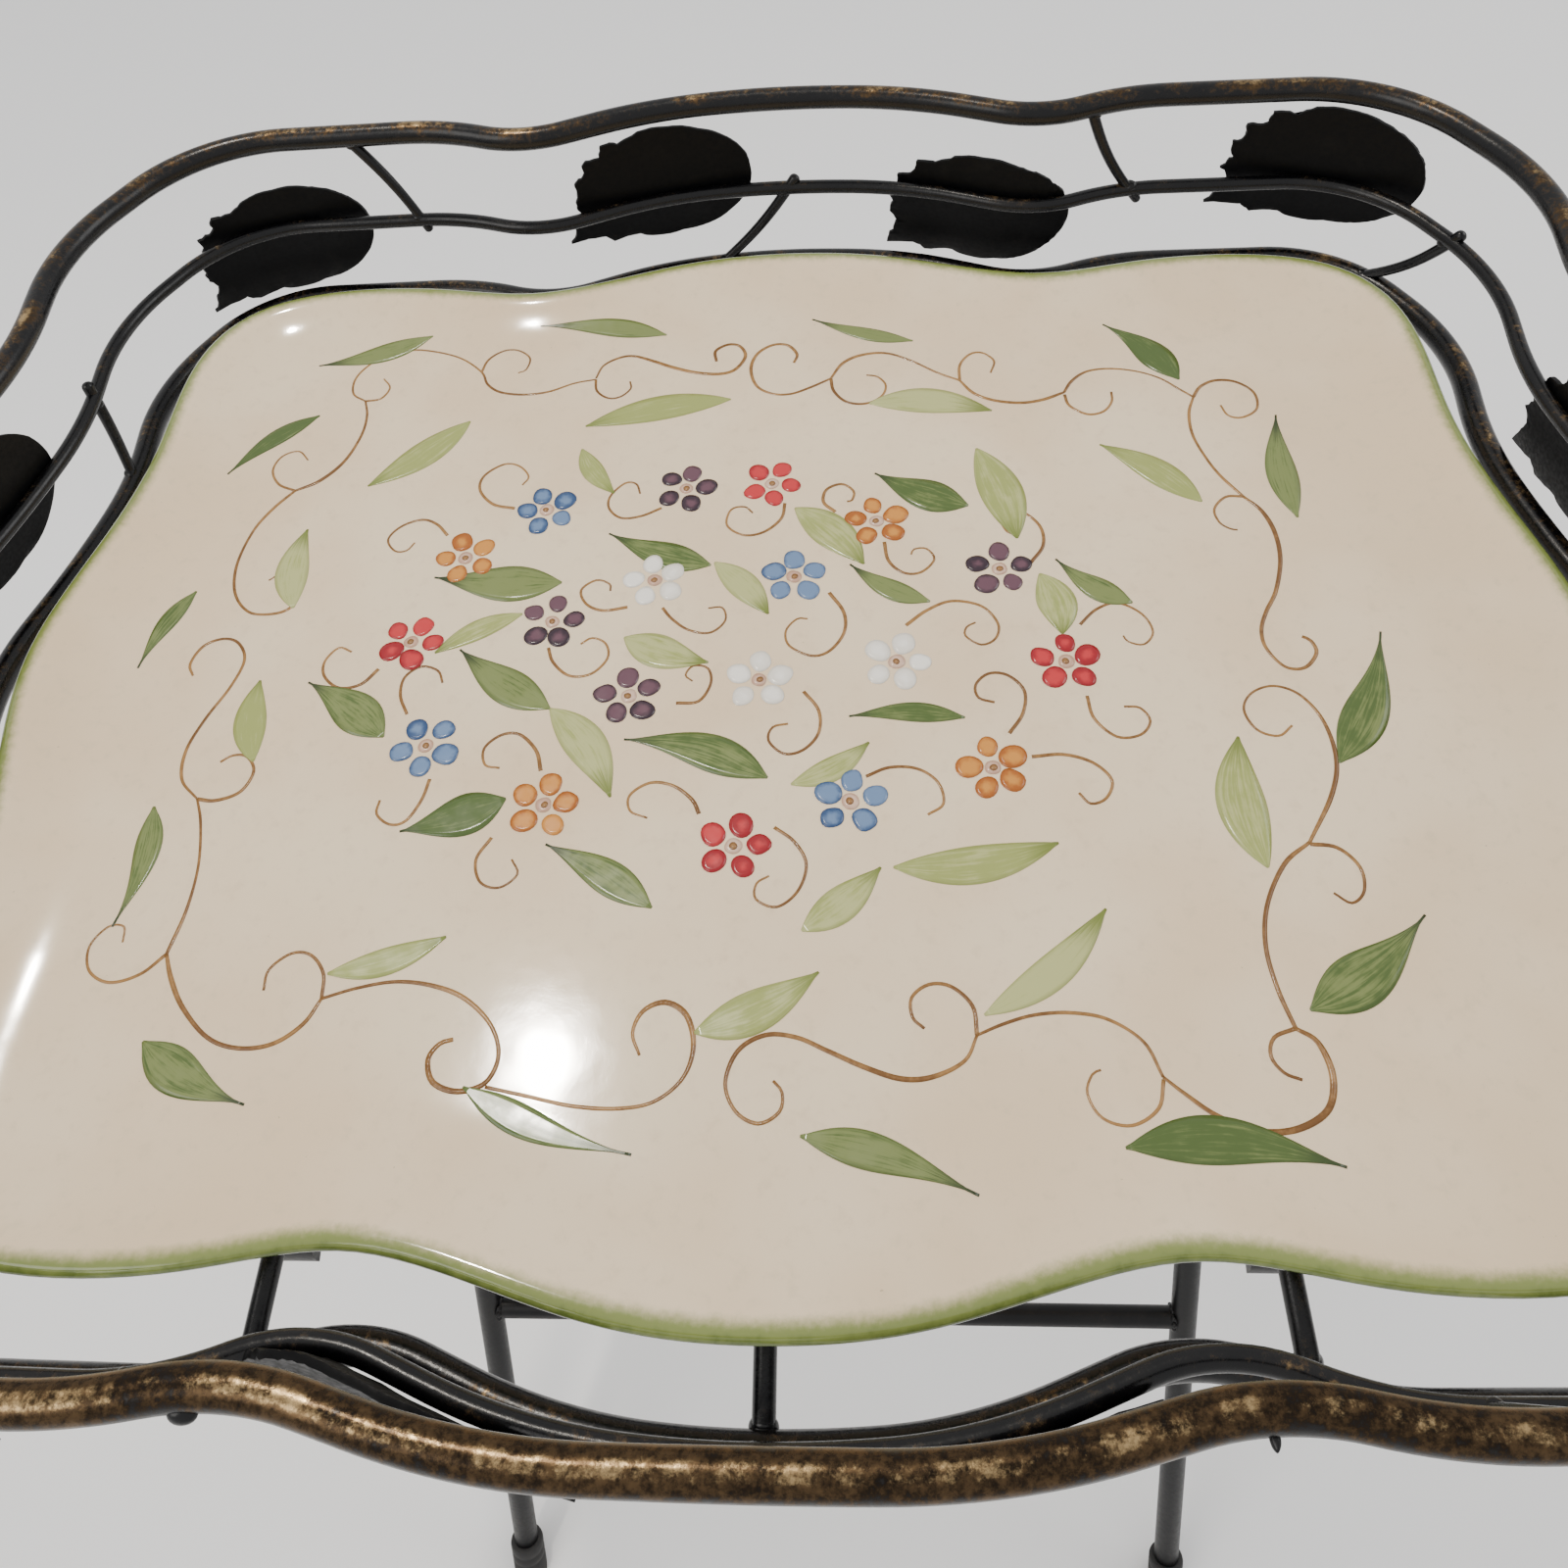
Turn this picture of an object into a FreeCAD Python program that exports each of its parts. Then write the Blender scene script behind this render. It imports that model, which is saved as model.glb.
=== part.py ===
"""Folding tray table: a glazed platter lifted in and out of a wrought-iron rack on crossed legs.

Millimetres, +Z up, +X to the right, the front at -Y. The origin is on the floor under the middle
of the rack. The table is modelled open.
"""
import FreeCAD, Part
import math
import os

Vector = FreeCAD.Vector
UP = Vector(0, 0, 1)
RIGHT = Vector(1, 0, 0)

doc = FreeCAD.newDocument("folding_tray_table")

# ---------------------------------------------------------------- driving dimensions

DIMENSIONS = {
    # platter; it stands loose in the rack, a little nearer the front
    "rim_height": 590,
    "platter_height": 18,
    "platter_seat_gap": 0.3,
    "platter_forward": 3,
    "dish_depth": 8,
    "rim_width": 5,
    "foot_inset": 42,
    "foot_recess": 3,
    # rack rails: bar diameters, rise over the rim and stand-out beyond the rim
    "top_rail_dia": 8,
    "top_rail_rise": 42,
    "top_rail_outset": 27,
    "vine_rail_dia": 5,
    "vine_rail_rise": 9,
    "vine_rail_outset": 22,
    "lower_ring_dia": 8,
    "lower_ring_drop": 20.5,
    "lower_ring_outset": 18,
    "rod_dia": 5,
    "rod_spacing": 110,
    "twig_dia": 4,
    "leaf_thickness": 1.6,
    # leg frames
    "leg_dia": 12,
    "bar_dia": 10,
    "bar_height": 558.7,
    "pivot_height": 310,
    "hinge_back": 145,
    "hook_front": 143,
    "outer_half_width": 165,
    "inner_half_width": 150,
    "leg_end_height": 7,
    "stretcher_height": 160,
    # hinge eyes and hooks
    "eye_radius": 8.5,
    "eye_width": 12,
    "eye_clearance": 0.1,
    "hook_clearance": 0.6,
    "hook_angle": 150,
    # pivot and feet
    "rivet_dia": 6,
    "rivet_head_dia": 13,
    "rivet_head_depth": 2.5,
    "rivet_clearance": 0.05,
    "spacer_dia": 16,
    "spacer_thickness": 2.6,
    "cap_dia": 17,
    "cap_length": 24,
}

sheet = doc.addObject("Spreadsheet::Sheet", "dims")
for row, (alias, number) in enumerate(DIMENSIONS.items(), start=1):
    sheet.set(f"A{row}", alias)
    sheet.set(f"B{row}", str(number))
    sheet.setAlias(f"B{row}", alias)
doc.recompute()


def dim(alias):
    """A driving dimension, read from the sheet."""
    return float(sheet.get(alias))


# ---------------------------------------------------------------- the plan outline

# One quarter of the wavy rim, as the poles of its curve, from the back middle to the right middle.
RIM_QUARTER = [
    (0, 170), (38, 167), (87, 148), (121, 160), (187, 159), (206, 124), (201, 80), (208, 42), (220, 0)]
# How much further forward the top rail's front poles stand, by their distance across in the outline.
FRONT_FULLNESS = {38: 3, 87: 8, 121: 3}


def mirrored_loop(quarter):
    """The closed loop of poles, clockwise seen from above, that one quarter gives by mirroring."""
    half = quarter + [(x, -y) for x, y in reversed(quarter[:-1])]
    return half + [(-x, y) for x, y in reversed(half[1:-1])]


def outset_loop(outset):
    """The rim's poles moved outwards by a distance, or inwards where it is negative."""
    loop = [Vector(x, y, 0) for x, y in mirrored_loop(RIM_QUARTER)]
    moved = []
    for before, pole, after in zip(loop[-1:] + loop[:-1], loop, loop[1:] + loop[:1]):
        normal_before = UP.cross(pole - before).normalize()
        normal_after = UP.cross(after - pole).normalize()
        bisector = (normal_before + normal_after).normalize()
        moved.append(pole + bisector * (outset / bisector.dot(normal_before)))
    return moved


ARC_SHARE = 0.48  # how much of the shorter run beside a corner its arc takes


def rounded_edges(loop):
    """Straight runs joined by tangent arcs, round a closed loop of corner points."""
    arcs = []
    for before, corner, after in zip(loop[-1:] + loop[:-1], loop, loop[1:] + loop[:1]):
        back = before - corner
        ahead = after - corner
        reach = ARC_SHARE * min(back.Length, ahead.Length)
        back.normalize()
        ahead.normalize()
        half_turn = (math.pi - back.getAngle(ahead)) / 2
        radius = reach / math.tan(half_turn)
        sagitta = radius / math.cos(half_turn) - radius
        middle = corner + (back + ahead).normalize() * sagitta
        arcs.append((corner + back * reach, middle, corner + ahead * reach))
    edges = []
    for (start, middle, end), (next_start, _, _) in zip(arcs, arcs[1:] + arcs[:1]):
        edges.append(Part.Arc(start, middle, end))
        edges.append(Part.LineSegment(end, next_start))
    return edges


# ---------------------------------------------------------------- modelling helpers


def origin_plane(body, role):
    """One of a body's own origin planes."""
    return next(feature for feature in body.Origin.OriginFeatures if feature.Role == role)


def attach(sketch, body, role, offset=None):
    """Attach a sketch to an origin plane of its body, at an offset given as an expression."""
    sketch.AttachmentSupport = [(origin_plane(body, role), "")]
    sketch.MapMode = "FlatFace"
    if offset:
        sketch.setExpression("AttachmentOffset.Base.z", offset)


def cylinder(name, start, direction, radius, height, angle=None):
    """A cylinder from a point along a direction; its sizes are expressions on the sheet."""
    solid = doc.addObject("Part::Cylinder", name)
    solid.Label = name
    solid.setExpression("Radius", radius)
    solid.setExpression("Height", height)
    if angle:
        solid.setExpression("Angle", angle)
    solid.Placement = FreeCAD.Placement(start, FreeCAD.Rotation(UP, direction))
    return solid


def cut(name, base, tool):
    """One solid with another taken away."""
    result = doc.addObject("Part::Cut", name)
    result.Label = name
    result.Base = base
    result.Tool = tool
    return result


def fused(name, solids):
    """Several overlapping solids made one."""
    result = doc.addObject("Part::MultiFuse", name)
    result.Label = name
    result.Shapes = solids
    return result


nodes = []


def node(solid):
    """Keep a finished sub-part for the export."""
    nodes.append(solid)
    return solid


# ---------------------------------------------------------------- platter


def rim_sketch(body, name, inset, height):
    """The rim's wavy curve, in four stretches, drawn in by an inset, at a height (an expression)."""
    sketch = body.newObject("Sketcher::SketchObject", name)
    attach(sketch, body, "XY_Plane", height)
    loop = Part.BSplineCurve()
    loop.buildFromPoles(outset_loop(-inset), True, 3)
    stretch = (loop.LastParameter - loop.FirstParameter) / 4
    for quarter in range(4):
        start = loop.FirstParameter + quarter * stretch
        curve = loop.copy()
        curve.segment(start, start + stretch)
        sketch.addGeometry(curve, False)
    return sketch


def loft(body, kind, name, sections):
    """A ruled loft, additive or subtractive, through rim curves given as (inset, height)."""
    sketches = [rim_sketch(body, f"{name}_{index}", *section) for index, section in enumerate(sections)]
    feature = body.newObject(f"PartDesign::{kind}", name)
    feature.Profile = sketches[0]
    feature.Sections = sketches[1:]
    feature.Ruled = True
    return feature


def make_platter():
    """A shallow oblong dish on a foot ring, its wavy edge turned up to a rounded rim."""
    body = doc.addObject("PartDesign::Body", "platter")
    body.Label = "platter"
    foot = dim("foot_inset")
    lip = dim("rim_width")
    loft(body, "AdditiveLoft", "outside", [
        (foot, "0"),
        (foot - 3, "dims.foot_recess"),
        (12, "dims.platter_height * 0.62"),
        (0, "dims.platter_height * 0.86"),
        (1.5, "dims.platter_height"),
    ])
    loft(body, "SubtractiveLoft", "dish", [
        (lip - 1, "dims.platter_height + 1"),
        (lip + 1, "dims.platter_height - 1"),
        (lip + 14, "dims.platter_height - dims.dish_depth * 0.75"),
        (lip + 32, "dims.platter_height - dims.dish_depth"),
    ])
    body.Tip = loft(body, "SubtractiveLoft", "foot_hollow", [
        (foot + 9, "-1"),
        (foot + 10, "dims.foot_recess"),
    ])
    body.setExpression("Placement.Base.y", "-dims.platter_forward")
    body.setExpression(
        "Placement.Base.z", "dims.rim_height - dims.platter_height + dims.platter_seat_gap")
    return node(body)


# ---------------------------------------------------------------- rack


def rail_height(rail):
    """The height of a rail's centre line."""
    if rail == "lower_ring":
        return dim("rim_height") - dim("lower_ring_drop")
    return dim("rim_height") + dim(f"{rail}_rise")


def rail_loop(rail):
    """A rail's corner points; the front of the top rail waves less than the rest."""
    loop = outset_loop(dim(f"{rail}_outset"))
    if rail == "top_rail":
        for pole, (x, y) in zip(loop, mirrored_loop(RIM_QUARTER)):
            if y < 0:
                pole.y -= FRONT_FULLNESS.get(abs(x), 0)
    return loop


def rail_wire(rail):
    """A rail's centre line, at its own height."""
    wire = Part.Wire([edge.toShape() for edge in rounded_edges(rail_loop(rail))])
    wire.translate(UP * rail_height(rail))
    return wire


def make_rail(rail):
    """A round bar bent into the closed wavy loop and butt welded."""
    path = doc.addObject("Sketcher::SketchObject", f"{rail}_path")
    for edge in rounded_edges(rail_loop(rail)):
        path.addGeometry(edge, False)
    height = "- dims.lower_ring_drop" if rail == "lower_ring" else f"+ dims.{rail}_rise"
    path.setExpression("Placement.Base.z", f"dims.rim_height {height}")
    doc.recompute()
    first = path.Shape.Edges[0]
    section = doc.addObject("Part::Circle", f"{rail}_section")
    section.setExpression("Radius", f"dims.{rail}_dia / 2")
    section.Placement = FreeCAD.Placement(
        first.valueAt(first.FirstParameter),
        FreeCAD.Rotation(UP, first.tangentAt(first.FirstParameter)))
    sweep = doc.addObject("Part::Sweep", rail)
    sweep.Label = rail
    sweep.Sections = [section]
    sweep.Spine = (path, [f"Edge{number}" for number in range(1, len(path.Shape.Edges) + 1)])
    sweep.Solid = True
    return node(sweep)


def rail_spot(rail, beyond):
    """The point of a rail nearest to a place outside it, and the outward direction there."""
    place = Vector(beyond[0], beyond[1], rail_height(rail))
    spot = rail_wire(rail).distToShape(Part.Vertex(place))[1][0][0]
    return spot, (place - spot).normalize()


WELD_BITE = 0.3  # how far a welded end sinks into the bar that it meets


def make_cross_rod(label, across):
    """A front-to-back rod welded between the lower ring's sides; the platter stands on it."""
    inner_side = rounded_edges(outset_loop(dim("lower_ring_outset") - dim("lower_ring_dia") / 2))
    middle_to_back = Part.LineSegment(Vector(across, 0, 0), Vector(across, 300, 0)).toShape()
    ring_wire = Part.Wire([edge.toShape() for edge in inner_side])
    reach = ring_wire.distToShape(middle_to_back)[1][0][0].y + WELD_BITE
    start = Vector(across, -reach, rail_height("lower_ring"))
    return node(cylinder(label, start, Vector(0, 1, 0), "dims.rod_dia / 2", f"{2 * reach:.2f}"))


def make_twig(label, upper, upper_beyond, lower, lower_beyond):
    """A short slanting bar between two rails."""
    top = rail_spot(upper, upper_beyond)[0]
    bottom = rail_spot(lower, lower_beyond)[0]
    run = bottom - top
    lead = dim(f"{upper}_dia") / 2 - WELD_BITE
    trail = dim(f"{lower}_dia") / 2 - WELD_BITE
    length = f"{run.Length - lead - trail:.2f}"
    run.normalize()
    return node(cylinder(label, top + run * lead, run, "dims.twig_dia / 2", length))


# The leaf's edge, seen from inside the rack: pointed and toothed at the left, rounded at the right.
LEAF_EDGE = [
    (-35, -19), (-24, -18), (-20, -21), (-10, -20), (-4, -22), (6, -21), (16, -19), (24, -14), (30, -6),
    (32, 2), (30, 10), (24, 16), (14, 20), (2, 22), (-8, 21), (-14, 18), (-21, 19), (-21, 14),
    (-28, 14), (-27, 8), (-33, 6), (-30, 1), (-33, -3), (-29, -8), (-33, -13)]


def make_leaf(label, beyond, lift, tilt, stand_off):
    """A flat sheet-iron leaf welded outside the vine rail, lifted and tilted along it."""
    spot, outward = rail_spot("vine_rail", beyond)
    inward = outward * -1
    body = doc.addObject("PartDesign::Body", label)
    body.Label = label
    sketch = body.newObject("Sketcher::SketchObject", f"{label}_edge")
    attach(sketch, body, "XY_Plane")
    corners = [Vector(x, y, 0) for x, y in LEAF_EDGE]
    for corner, following in zip(corners, corners[1:] + corners[:1]):
        sketch.addGeometry(Part.LineSegment(corner, following), False)
    pad = body.newObject("PartDesign::Pad", f"{label}_sheet")
    pad.Profile = sketch
    pad.setExpression("Length", "dims.leaf_thickness")
    pad.Reversed = True
    facing = FreeCAD.Rotation(UP.cross(inward), UP, inward, "ZXY")
    place = spot + outward * (dim("vine_rail_dia") / 2 - WELD_BITE + stand_off) + UP * lift
    body.Placement = FreeCAD.Placement(place, facing.multiply(FreeCAD.Rotation(UP, tilt)))
    return node(body)


def make_eye(label, across):
    """A closed eye, welded under a cross rod, that turns on the outer frame's top bar."""
    start = Vector(across - dim("eye_width") / 2, dim("hinge_back"), dim("bar_height"))
    ring = cylinder(f"{label}_ring", start, RIGHT, "dims.eye_radius", "dims.eye_width")
    bore = cylinder(
        f"{label}_bore", start, RIGHT, "dims.bar_dia / 2 + dims.eye_clearance", "dims.eye_width")
    return node(cut(label, ring, bore))


def make_hook(label, across):
    """An open hook, welded under a cross rod, that drops over the inner frame's top bar."""
    start = Vector(across - dim("eye_width") / 2, -dim("hook_front"), dim("bar_height"))
    saddle = cylinder(
        f"{label}_saddle", start, RIGHT, "dims.eye_radius", "dims.eye_width", "dims.hook_angle")
    # The arc runs from over the bar's back to just below its front; the bar leaves down and back.
    back_and_up = Vector(0, 1, 1)
    from_back = FreeCAD.Rotation(back_and_up, RIGHT.cross(back_and_up), RIGHT, "ZXY")
    saddle.Placement = FreeCAD.Placement(start, from_back)
    mouth = cylinder(
        f"{label}_mouth", start, RIGHT, "dims.bar_dia / 2 + dims.hook_clearance", "dims.eye_width")
    return node(cut(label, saddle, mouth))


# ---------------------------------------------------------------- leg frames


class LegFrame:
    """One of the two crossing frames: legs, top bar, stretcher and foot caps.

    Lean is +1 for the outer frame, whose top is at the back, and -1 for the inner one.
    """

    def __init__(self, name, reach, half_width, lean):
        self.name = name
        self.reach = reach
        self.half_width = half_width
        self.lean = lean
        self.rise = dim("bar_height") - dim("pivot_height")
        self.top = Vector(0, lean * dim(reach), dim("bar_height"))
        self.upward = Vector(0, lean * dim(reach), self.rise).normalize()

    def at_height(self, height):
        """The point of the frame's plane, in the middle, at a height."""
        return self.top + self.upward * ((height - self.top.z) / self.upward.z)

    def leg(self, side):
        """A round leg with a domed top and the pivot hole."""
        label = f"{self.name}_leg_{side}"
        across = RIGHT * self.across(side)
        foot = self.at_height(dim("leg_end_height")) + across
        slope = f"sqrt(1 + (dims.{self.reach} / (dims.bar_height - dims.pivot_height))^2)"
        shank = cylinder(
            f"{label}_shank", foot, self.upward, "dims.leg_dia / 2",
            f"(dims.bar_height - dims.leg_end_height) * {slope}")
        dome = doc.addObject("Part::Sphere", f"{label}_dome")
        dome.setExpression("Radius", "dims.leg_dia / 2")
        dome.Placement = FreeCAD.Placement(self.top + across, FreeCAD.Rotation(UP, self.upward))
        half_bore = RIGHT * dim("leg_dia")
        pivot = Vector(self.across(side), 0, dim("pivot_height"))
        bore = cylinder(
            f"{label}_bore", pivot - half_bore, RIGHT,
            "dims.rivet_dia / 2 + dims.rivet_clearance", "dims.leg_dia * 2")
        return node(cut(label, fused(f"{label}_bar", [shank, dome]), bore))

    def across(self, side):
        return dim(self.half_width) * (1 if side == "right" else -1)

    def crossbar(self, label, centre, legs):
        """A bar between the legs, its ends coped to their round sides."""
        bar = cylinder(
            f"{label}_blank", centre - RIGHT * dim(self.half_width), RIGHT,
            "dims.bar_dia / 2", f"dims.{self.half_width} * 2")
        return node(cut(label, bar, fused(f"{label}_cope", legs)))

    def foot_cap(self, side, leg):
        """A rubber cap pushed over the leg's end and standing flat on the floor."""
        label = f"{self.name}_foot_cap_{side}"
        below = 20
        start = self.at_height(-below) + RIGHT * self.across(side)
        cap = cylinder(
            f"{label}_blank", start, self.upward, "dims.cap_dia / 2",
            f"dims.cap_length + {below / self.upward.z:.2f}")
        floor = doc.addObject("Part::Box", f"{label}_floor")
        floor.Length = floor.Width = 4 * below
        floor.Height = 2 * below
        floor.Placement.Base = Vector(start.x - 2 * below, start.y - 2 * below, -2 * below)
        return node(cut(label, cap, fused(f"{label}_cutter", [floor, leg])))

    def build(self):
        sides = ("left", "right")
        legs = [self.leg(side) for side in sides]
        self.crossbar(f"{self.name}_top_bar", self.top, legs)
        self.crossbar(f"{self.name}_stretcher", self.at_height(dim("stretcher_height")), legs)
        for side, leg in zip(sides, legs):
            self.foot_cap(side, leg)


def make_rivet(label, side):
    """The pivot rivet through both legs of one side, a round head at each end."""
    pivot = Vector(0, 0, dim("pivot_height"))
    inner = dim("inner_half_width") - dim("leg_dia") / 2
    depth = "dims.rivet_head_depth"
    grip = "dims.outer_half_width - dims.inner_half_width + dims.leg_dia"
    outward = RIGHT * side
    start = pivot + outward * inner
    end = pivot + outward * (dim("outer_half_width") + dim("leg_dia") / 2)
    shank = cylinder(f"{label}_shank", start, outward, "dims.rivet_dia / 2", grip)
    inner_head = cylinder(f"{label}_inner_head", start, outward * -1, "dims.rivet_head_dia / 2", depth)
    outer_head = cylinder(f"{label}_outer_head", end, outward, "dims.rivet_head_dia / 2", depth)
    return node(fused(label, [shank, inner_head, outer_head]))


def make_spacer(label, side):
    """The washer that keeps the two legs of one side apart."""
    middle = (dim("outer_half_width") + dim("inner_half_width")) / 2
    outward = RIGHT * side
    start = Vector(0, 0, dim("pivot_height")) + outward * (middle - dim("spacer_thickness") / 2)
    disc = cylinder(f"{label}_disc", start, outward, "dims.spacer_dia / 2", "dims.spacer_thickness")
    bore = cylinder(
        f"{label}_bore", start, outward,
        "dims.rivet_dia / 2 + dims.rivet_clearance", "dims.spacer_thickness")
    return node(cut(label, disc, bore))


# ---------------------------------------------------------------- assembly

# Places on a rail are given by a point some 20 mm outside it, (x, y).
# Twigs between the rails: (name, upper rail, its place, lower rail, its place).
# The half listed here has its twin on the other side of the rack, turned half way round.
TWIGS = [
    ("upper_twig_back_left", "top_rail", (-152, 212), "vine_rail", (-132, 205)),
    ("upper_twig_back_right", "top_rail", (97, 205), "vine_rail", (119, 205)),
    ("upper_twig_right", "top_rail", (265, 40), "vine_rail", (262, 22)),
    ("lower_twig_back", "vine_rail", (1, 212), "lower_ring", (-28, 205)),
    ("lower_twig_corner_right", "vine_rail", (232, 152), "lower_ring", (214, 178)),
    ("lower_twig_left", "vine_rail", (-245, 92), "lower_ring", (-245, 84)),
]

# Leaves: (name, place on the vine rail, lift over it, tilt in degrees, stand-off where the rail bends).
LEAVES = [
    ("leaf_back_far_left", (-192, 208), -8, 4, 0),
    ("leaf_back_near_left", (-48, 212), 4, -3, 0),
    ("leaf_back_near_right", (75, 200), -8, 3, 7),
    ("leaf_back_far_right", (194, 208), 4, -3, 0),
    ("leaf_right_back", (262, 56), -8, 3, 1.2),
    ("leaf_right_front", (262, -42), 4, -3, 1),
]

TURNED_NAME = {"back": "front", "front": "back", "left": "right", "right": "left"}


def turned(name):
    """The name of the piece half way round the rack."""
    return "_".join(TURNED_NAME.get(word, word) for word in name.split("_"))


def opposite(place):
    return (-place[0], -place[1])


make_platter()
for rail in ("top_rail", "vine_rail", "lower_ring"):
    make_rail(rail)
for label, across in (("left", -1), ("centre", 0), ("right", 1)):
    make_cross_rod(f"cross_rod_{label}", across * dim("rod_spacing"))
for label, upper, upper_beyond, lower, lower_beyond in TWIGS:
    make_twig(label, upper, upper_beyond, lower, lower_beyond)
    make_twig(turned(label), upper, opposite(upper_beyond), lower, opposite(lower_beyond))
for label, beyond, *setting in LEAVES:
    make_leaf(label, beyond, *setting)
    make_leaf(turned(label), opposite(beyond), *setting)
for label, side in (("left", -1), ("right", 1)):
    make_eye(f"hinge_eye_{label}", side * dim("rod_spacing"))
    make_hook(f"rack_hook_{label}", side * dim("rod_spacing"))
    make_rivet(f"pivot_rivet_{label}", side)
    make_spacer(f"pivot_spacer_{label}", side)
LegFrame("outer", "hinge_back", "outer_half_width", 1).build()
LegFrame("inner", "hook_front", "inner_half_width", -1).build()
doc.recompute()

# ---------------------------------------------------------------- checks and export

for item in doc.Objects:
    faults = {"Invalid", "Error"}.intersection(item.State)
    if faults:
        raise RuntimeError(f"{item.Label}: {', '.join(faults)}")

for solid in nodes:
    shape = solid.Shape
    if shape.isNull() or not shape.isValid() or not shape.Solids:
        raise RuntimeError(f"{solid.Label}: no valid solid")

for rail in ("top_rail", "vine_rail", "lower_ring"):
    section = math.pi * dim(f"{rail}_dia") ** 2 / 4
    ratio = doc.getObject(rail).Shape.Volume / (section * rail_wire(rail).Length)
    print(f"{rail}: volume over section times length {ratio:.4f}")
    if abs(ratio - 1) > 0.01:
        raise RuntimeError(f"{rail}: the sweep's volume is wrong")

os.makedirs("parts", exist_ok=True)
for solid in nodes:
    solid.Shape.exportStep(f"parts/{solid.Label}.step")
print(f"{len(nodes)} sub-parts")
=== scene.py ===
"""The looks of the folding tray table: painted stoneware platter, wrought-iron rack, crossed legs.

Lengths in this file are millimetres unless a comment says metres; meshes are made in metres.
+Z is up, +X to the right, the front at -Y.
"""
import math
import random
import bmesh
import bpy
from mathutils import Matrix, Vector, noise
from mathutils.bvhtree import BVHTree


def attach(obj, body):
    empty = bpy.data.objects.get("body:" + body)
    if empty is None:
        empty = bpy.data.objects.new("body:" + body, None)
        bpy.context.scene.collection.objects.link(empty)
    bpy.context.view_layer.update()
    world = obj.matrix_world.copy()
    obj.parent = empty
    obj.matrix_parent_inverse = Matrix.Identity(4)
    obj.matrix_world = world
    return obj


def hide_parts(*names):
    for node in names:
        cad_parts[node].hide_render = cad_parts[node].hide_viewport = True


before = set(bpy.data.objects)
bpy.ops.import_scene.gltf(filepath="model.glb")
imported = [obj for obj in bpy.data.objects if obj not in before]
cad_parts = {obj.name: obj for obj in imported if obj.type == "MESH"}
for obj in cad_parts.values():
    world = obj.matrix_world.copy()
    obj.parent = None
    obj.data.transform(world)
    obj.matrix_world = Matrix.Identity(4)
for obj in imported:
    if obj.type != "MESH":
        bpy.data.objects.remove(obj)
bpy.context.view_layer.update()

MM = 0.001
UP = Vector((0, 0, 1))
RIGHT = Vector((1, 0, 0))
CREASE_ANGLE = math.radians(40)
DOME_ANGLES = [math.radians(degrees) for degrees in (25, 50, 70, 84)]
scene = bpy.context.scene
bpy.ops.object.select_all(action="DESELECT")

# ---------------------------------------------------------------- the plan outline

# One quarter of the rim, from the middle of the back to the middle of the right side.
RIM_QUARTER = [(0, 170), (38, 167), (87, 148), (121, 160), (187, 159), (206, 124), (201, 80), (208, 42),
               (220, 0)]
FRONT_FULLNESS = {38: 3, 87: 8, 121: 3}
ARC_SHARE = 0.48


def outset_loop(outset, fuller_front=False):
    """The outline's corner points, clockwise from above, moved outwards; a fuller front waves less."""
    half = RIM_QUARTER + [(x, -y) for x, y in reversed(RIM_QUARTER[:-1])]
    loop = [Vector((x, y, 0)) for x, y in half + [(-x, y) for x, y in reversed(half[1:-1])]]
    moved = []
    for before, pole, after in zip(loop[-1:] + loop[:-1], loop, loop[1:] + loop[:1]):
        first = UP.cross(pole - before).normalized()
        second = UP.cross(after - pole).normalized()
        bisector = (first + second).normalized()
        moved.append(pole + bisector * (outset / bisector.dot(first)))
        if fuller_front and pole.y < 0:
            moved[-1].y -= FRONT_FULLNESS.get(abs(round(pole.x)), 0)
    return moved


def smooth_loop(inset, per_span=10):
    """The closed cubic curve through the outline's poles, drawn in by an inset."""
    poles = outset_loop(-inset)
    count = len(poles)
    points = []
    for index in range(count):
        a, b, c, d = (poles[(index + step) % count] for step in range(4))
        for step in range(per_span):
            t = step / per_span
            points.append((a * (1 - t) ** 3 + b * (3 * t ** 3 - 6 * t ** 2 + 4)
                           + c * (-3 * t ** 3 + 3 * t ** 2 + 3 * t + 1) + d * t ** 3) / 6)
    return points


def rail_path(outset, height, fuller_front=False, step=2.5):
    """A rail's centre line: straight runs joined by tangent arcs."""
    loop = outset_loop(outset, fuller_front)
    points = []
    for before, corner, after in zip(loop[-1:] + loop[:-1], loop, loop[1:] + loop[:1]):
        back, ahead = before - corner, after - corner
        reach = ARC_SHARE * min(back.length, ahead.length)
        back.normalize()
        ahead.normalize()
        half_turn = (math.pi - back.angle(ahead)) / 2
        radius = reach / math.tan(half_turn)
        centre = corner + (back + ahead).normalized() * (radius / math.cos(half_turn))
        start = corner + back * reach - centre
        turn = math.copysign(2 * half_turn, start.cross(corner + ahead * reach - centre).z)
        count = max(3, round(radius * 2 * half_turn / step))
        points += [centre + Matrix.Rotation(turn * index / count, 3, "Z") @ start
                   for index in range(count + 1)]
    filled = []
    for point, following in zip(points, points[1:] + points[:1]):
        count = max(1, round((following - point).length / step))
        filled += [point.lerp(following, index / count) + UP * height for index in range(count)]
    return filled


def rail_spot(path, beyond):
    """The point of a rail nearest to a place outside it, and the outward direction there."""
    place = Vector((beyond[0], beyond[1], path[0].z))
    best = None
    for start, end in zip(path, path[1:] + path[:1]):
        run = end - start
        share = min(1, max(0, (place - start).dot(run) / run.length_squared))
        spot = start + run * share
        if best is None or (place - spot).length < (place - best).length:
            best = spot
    return best, (place - best).normalized()


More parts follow.
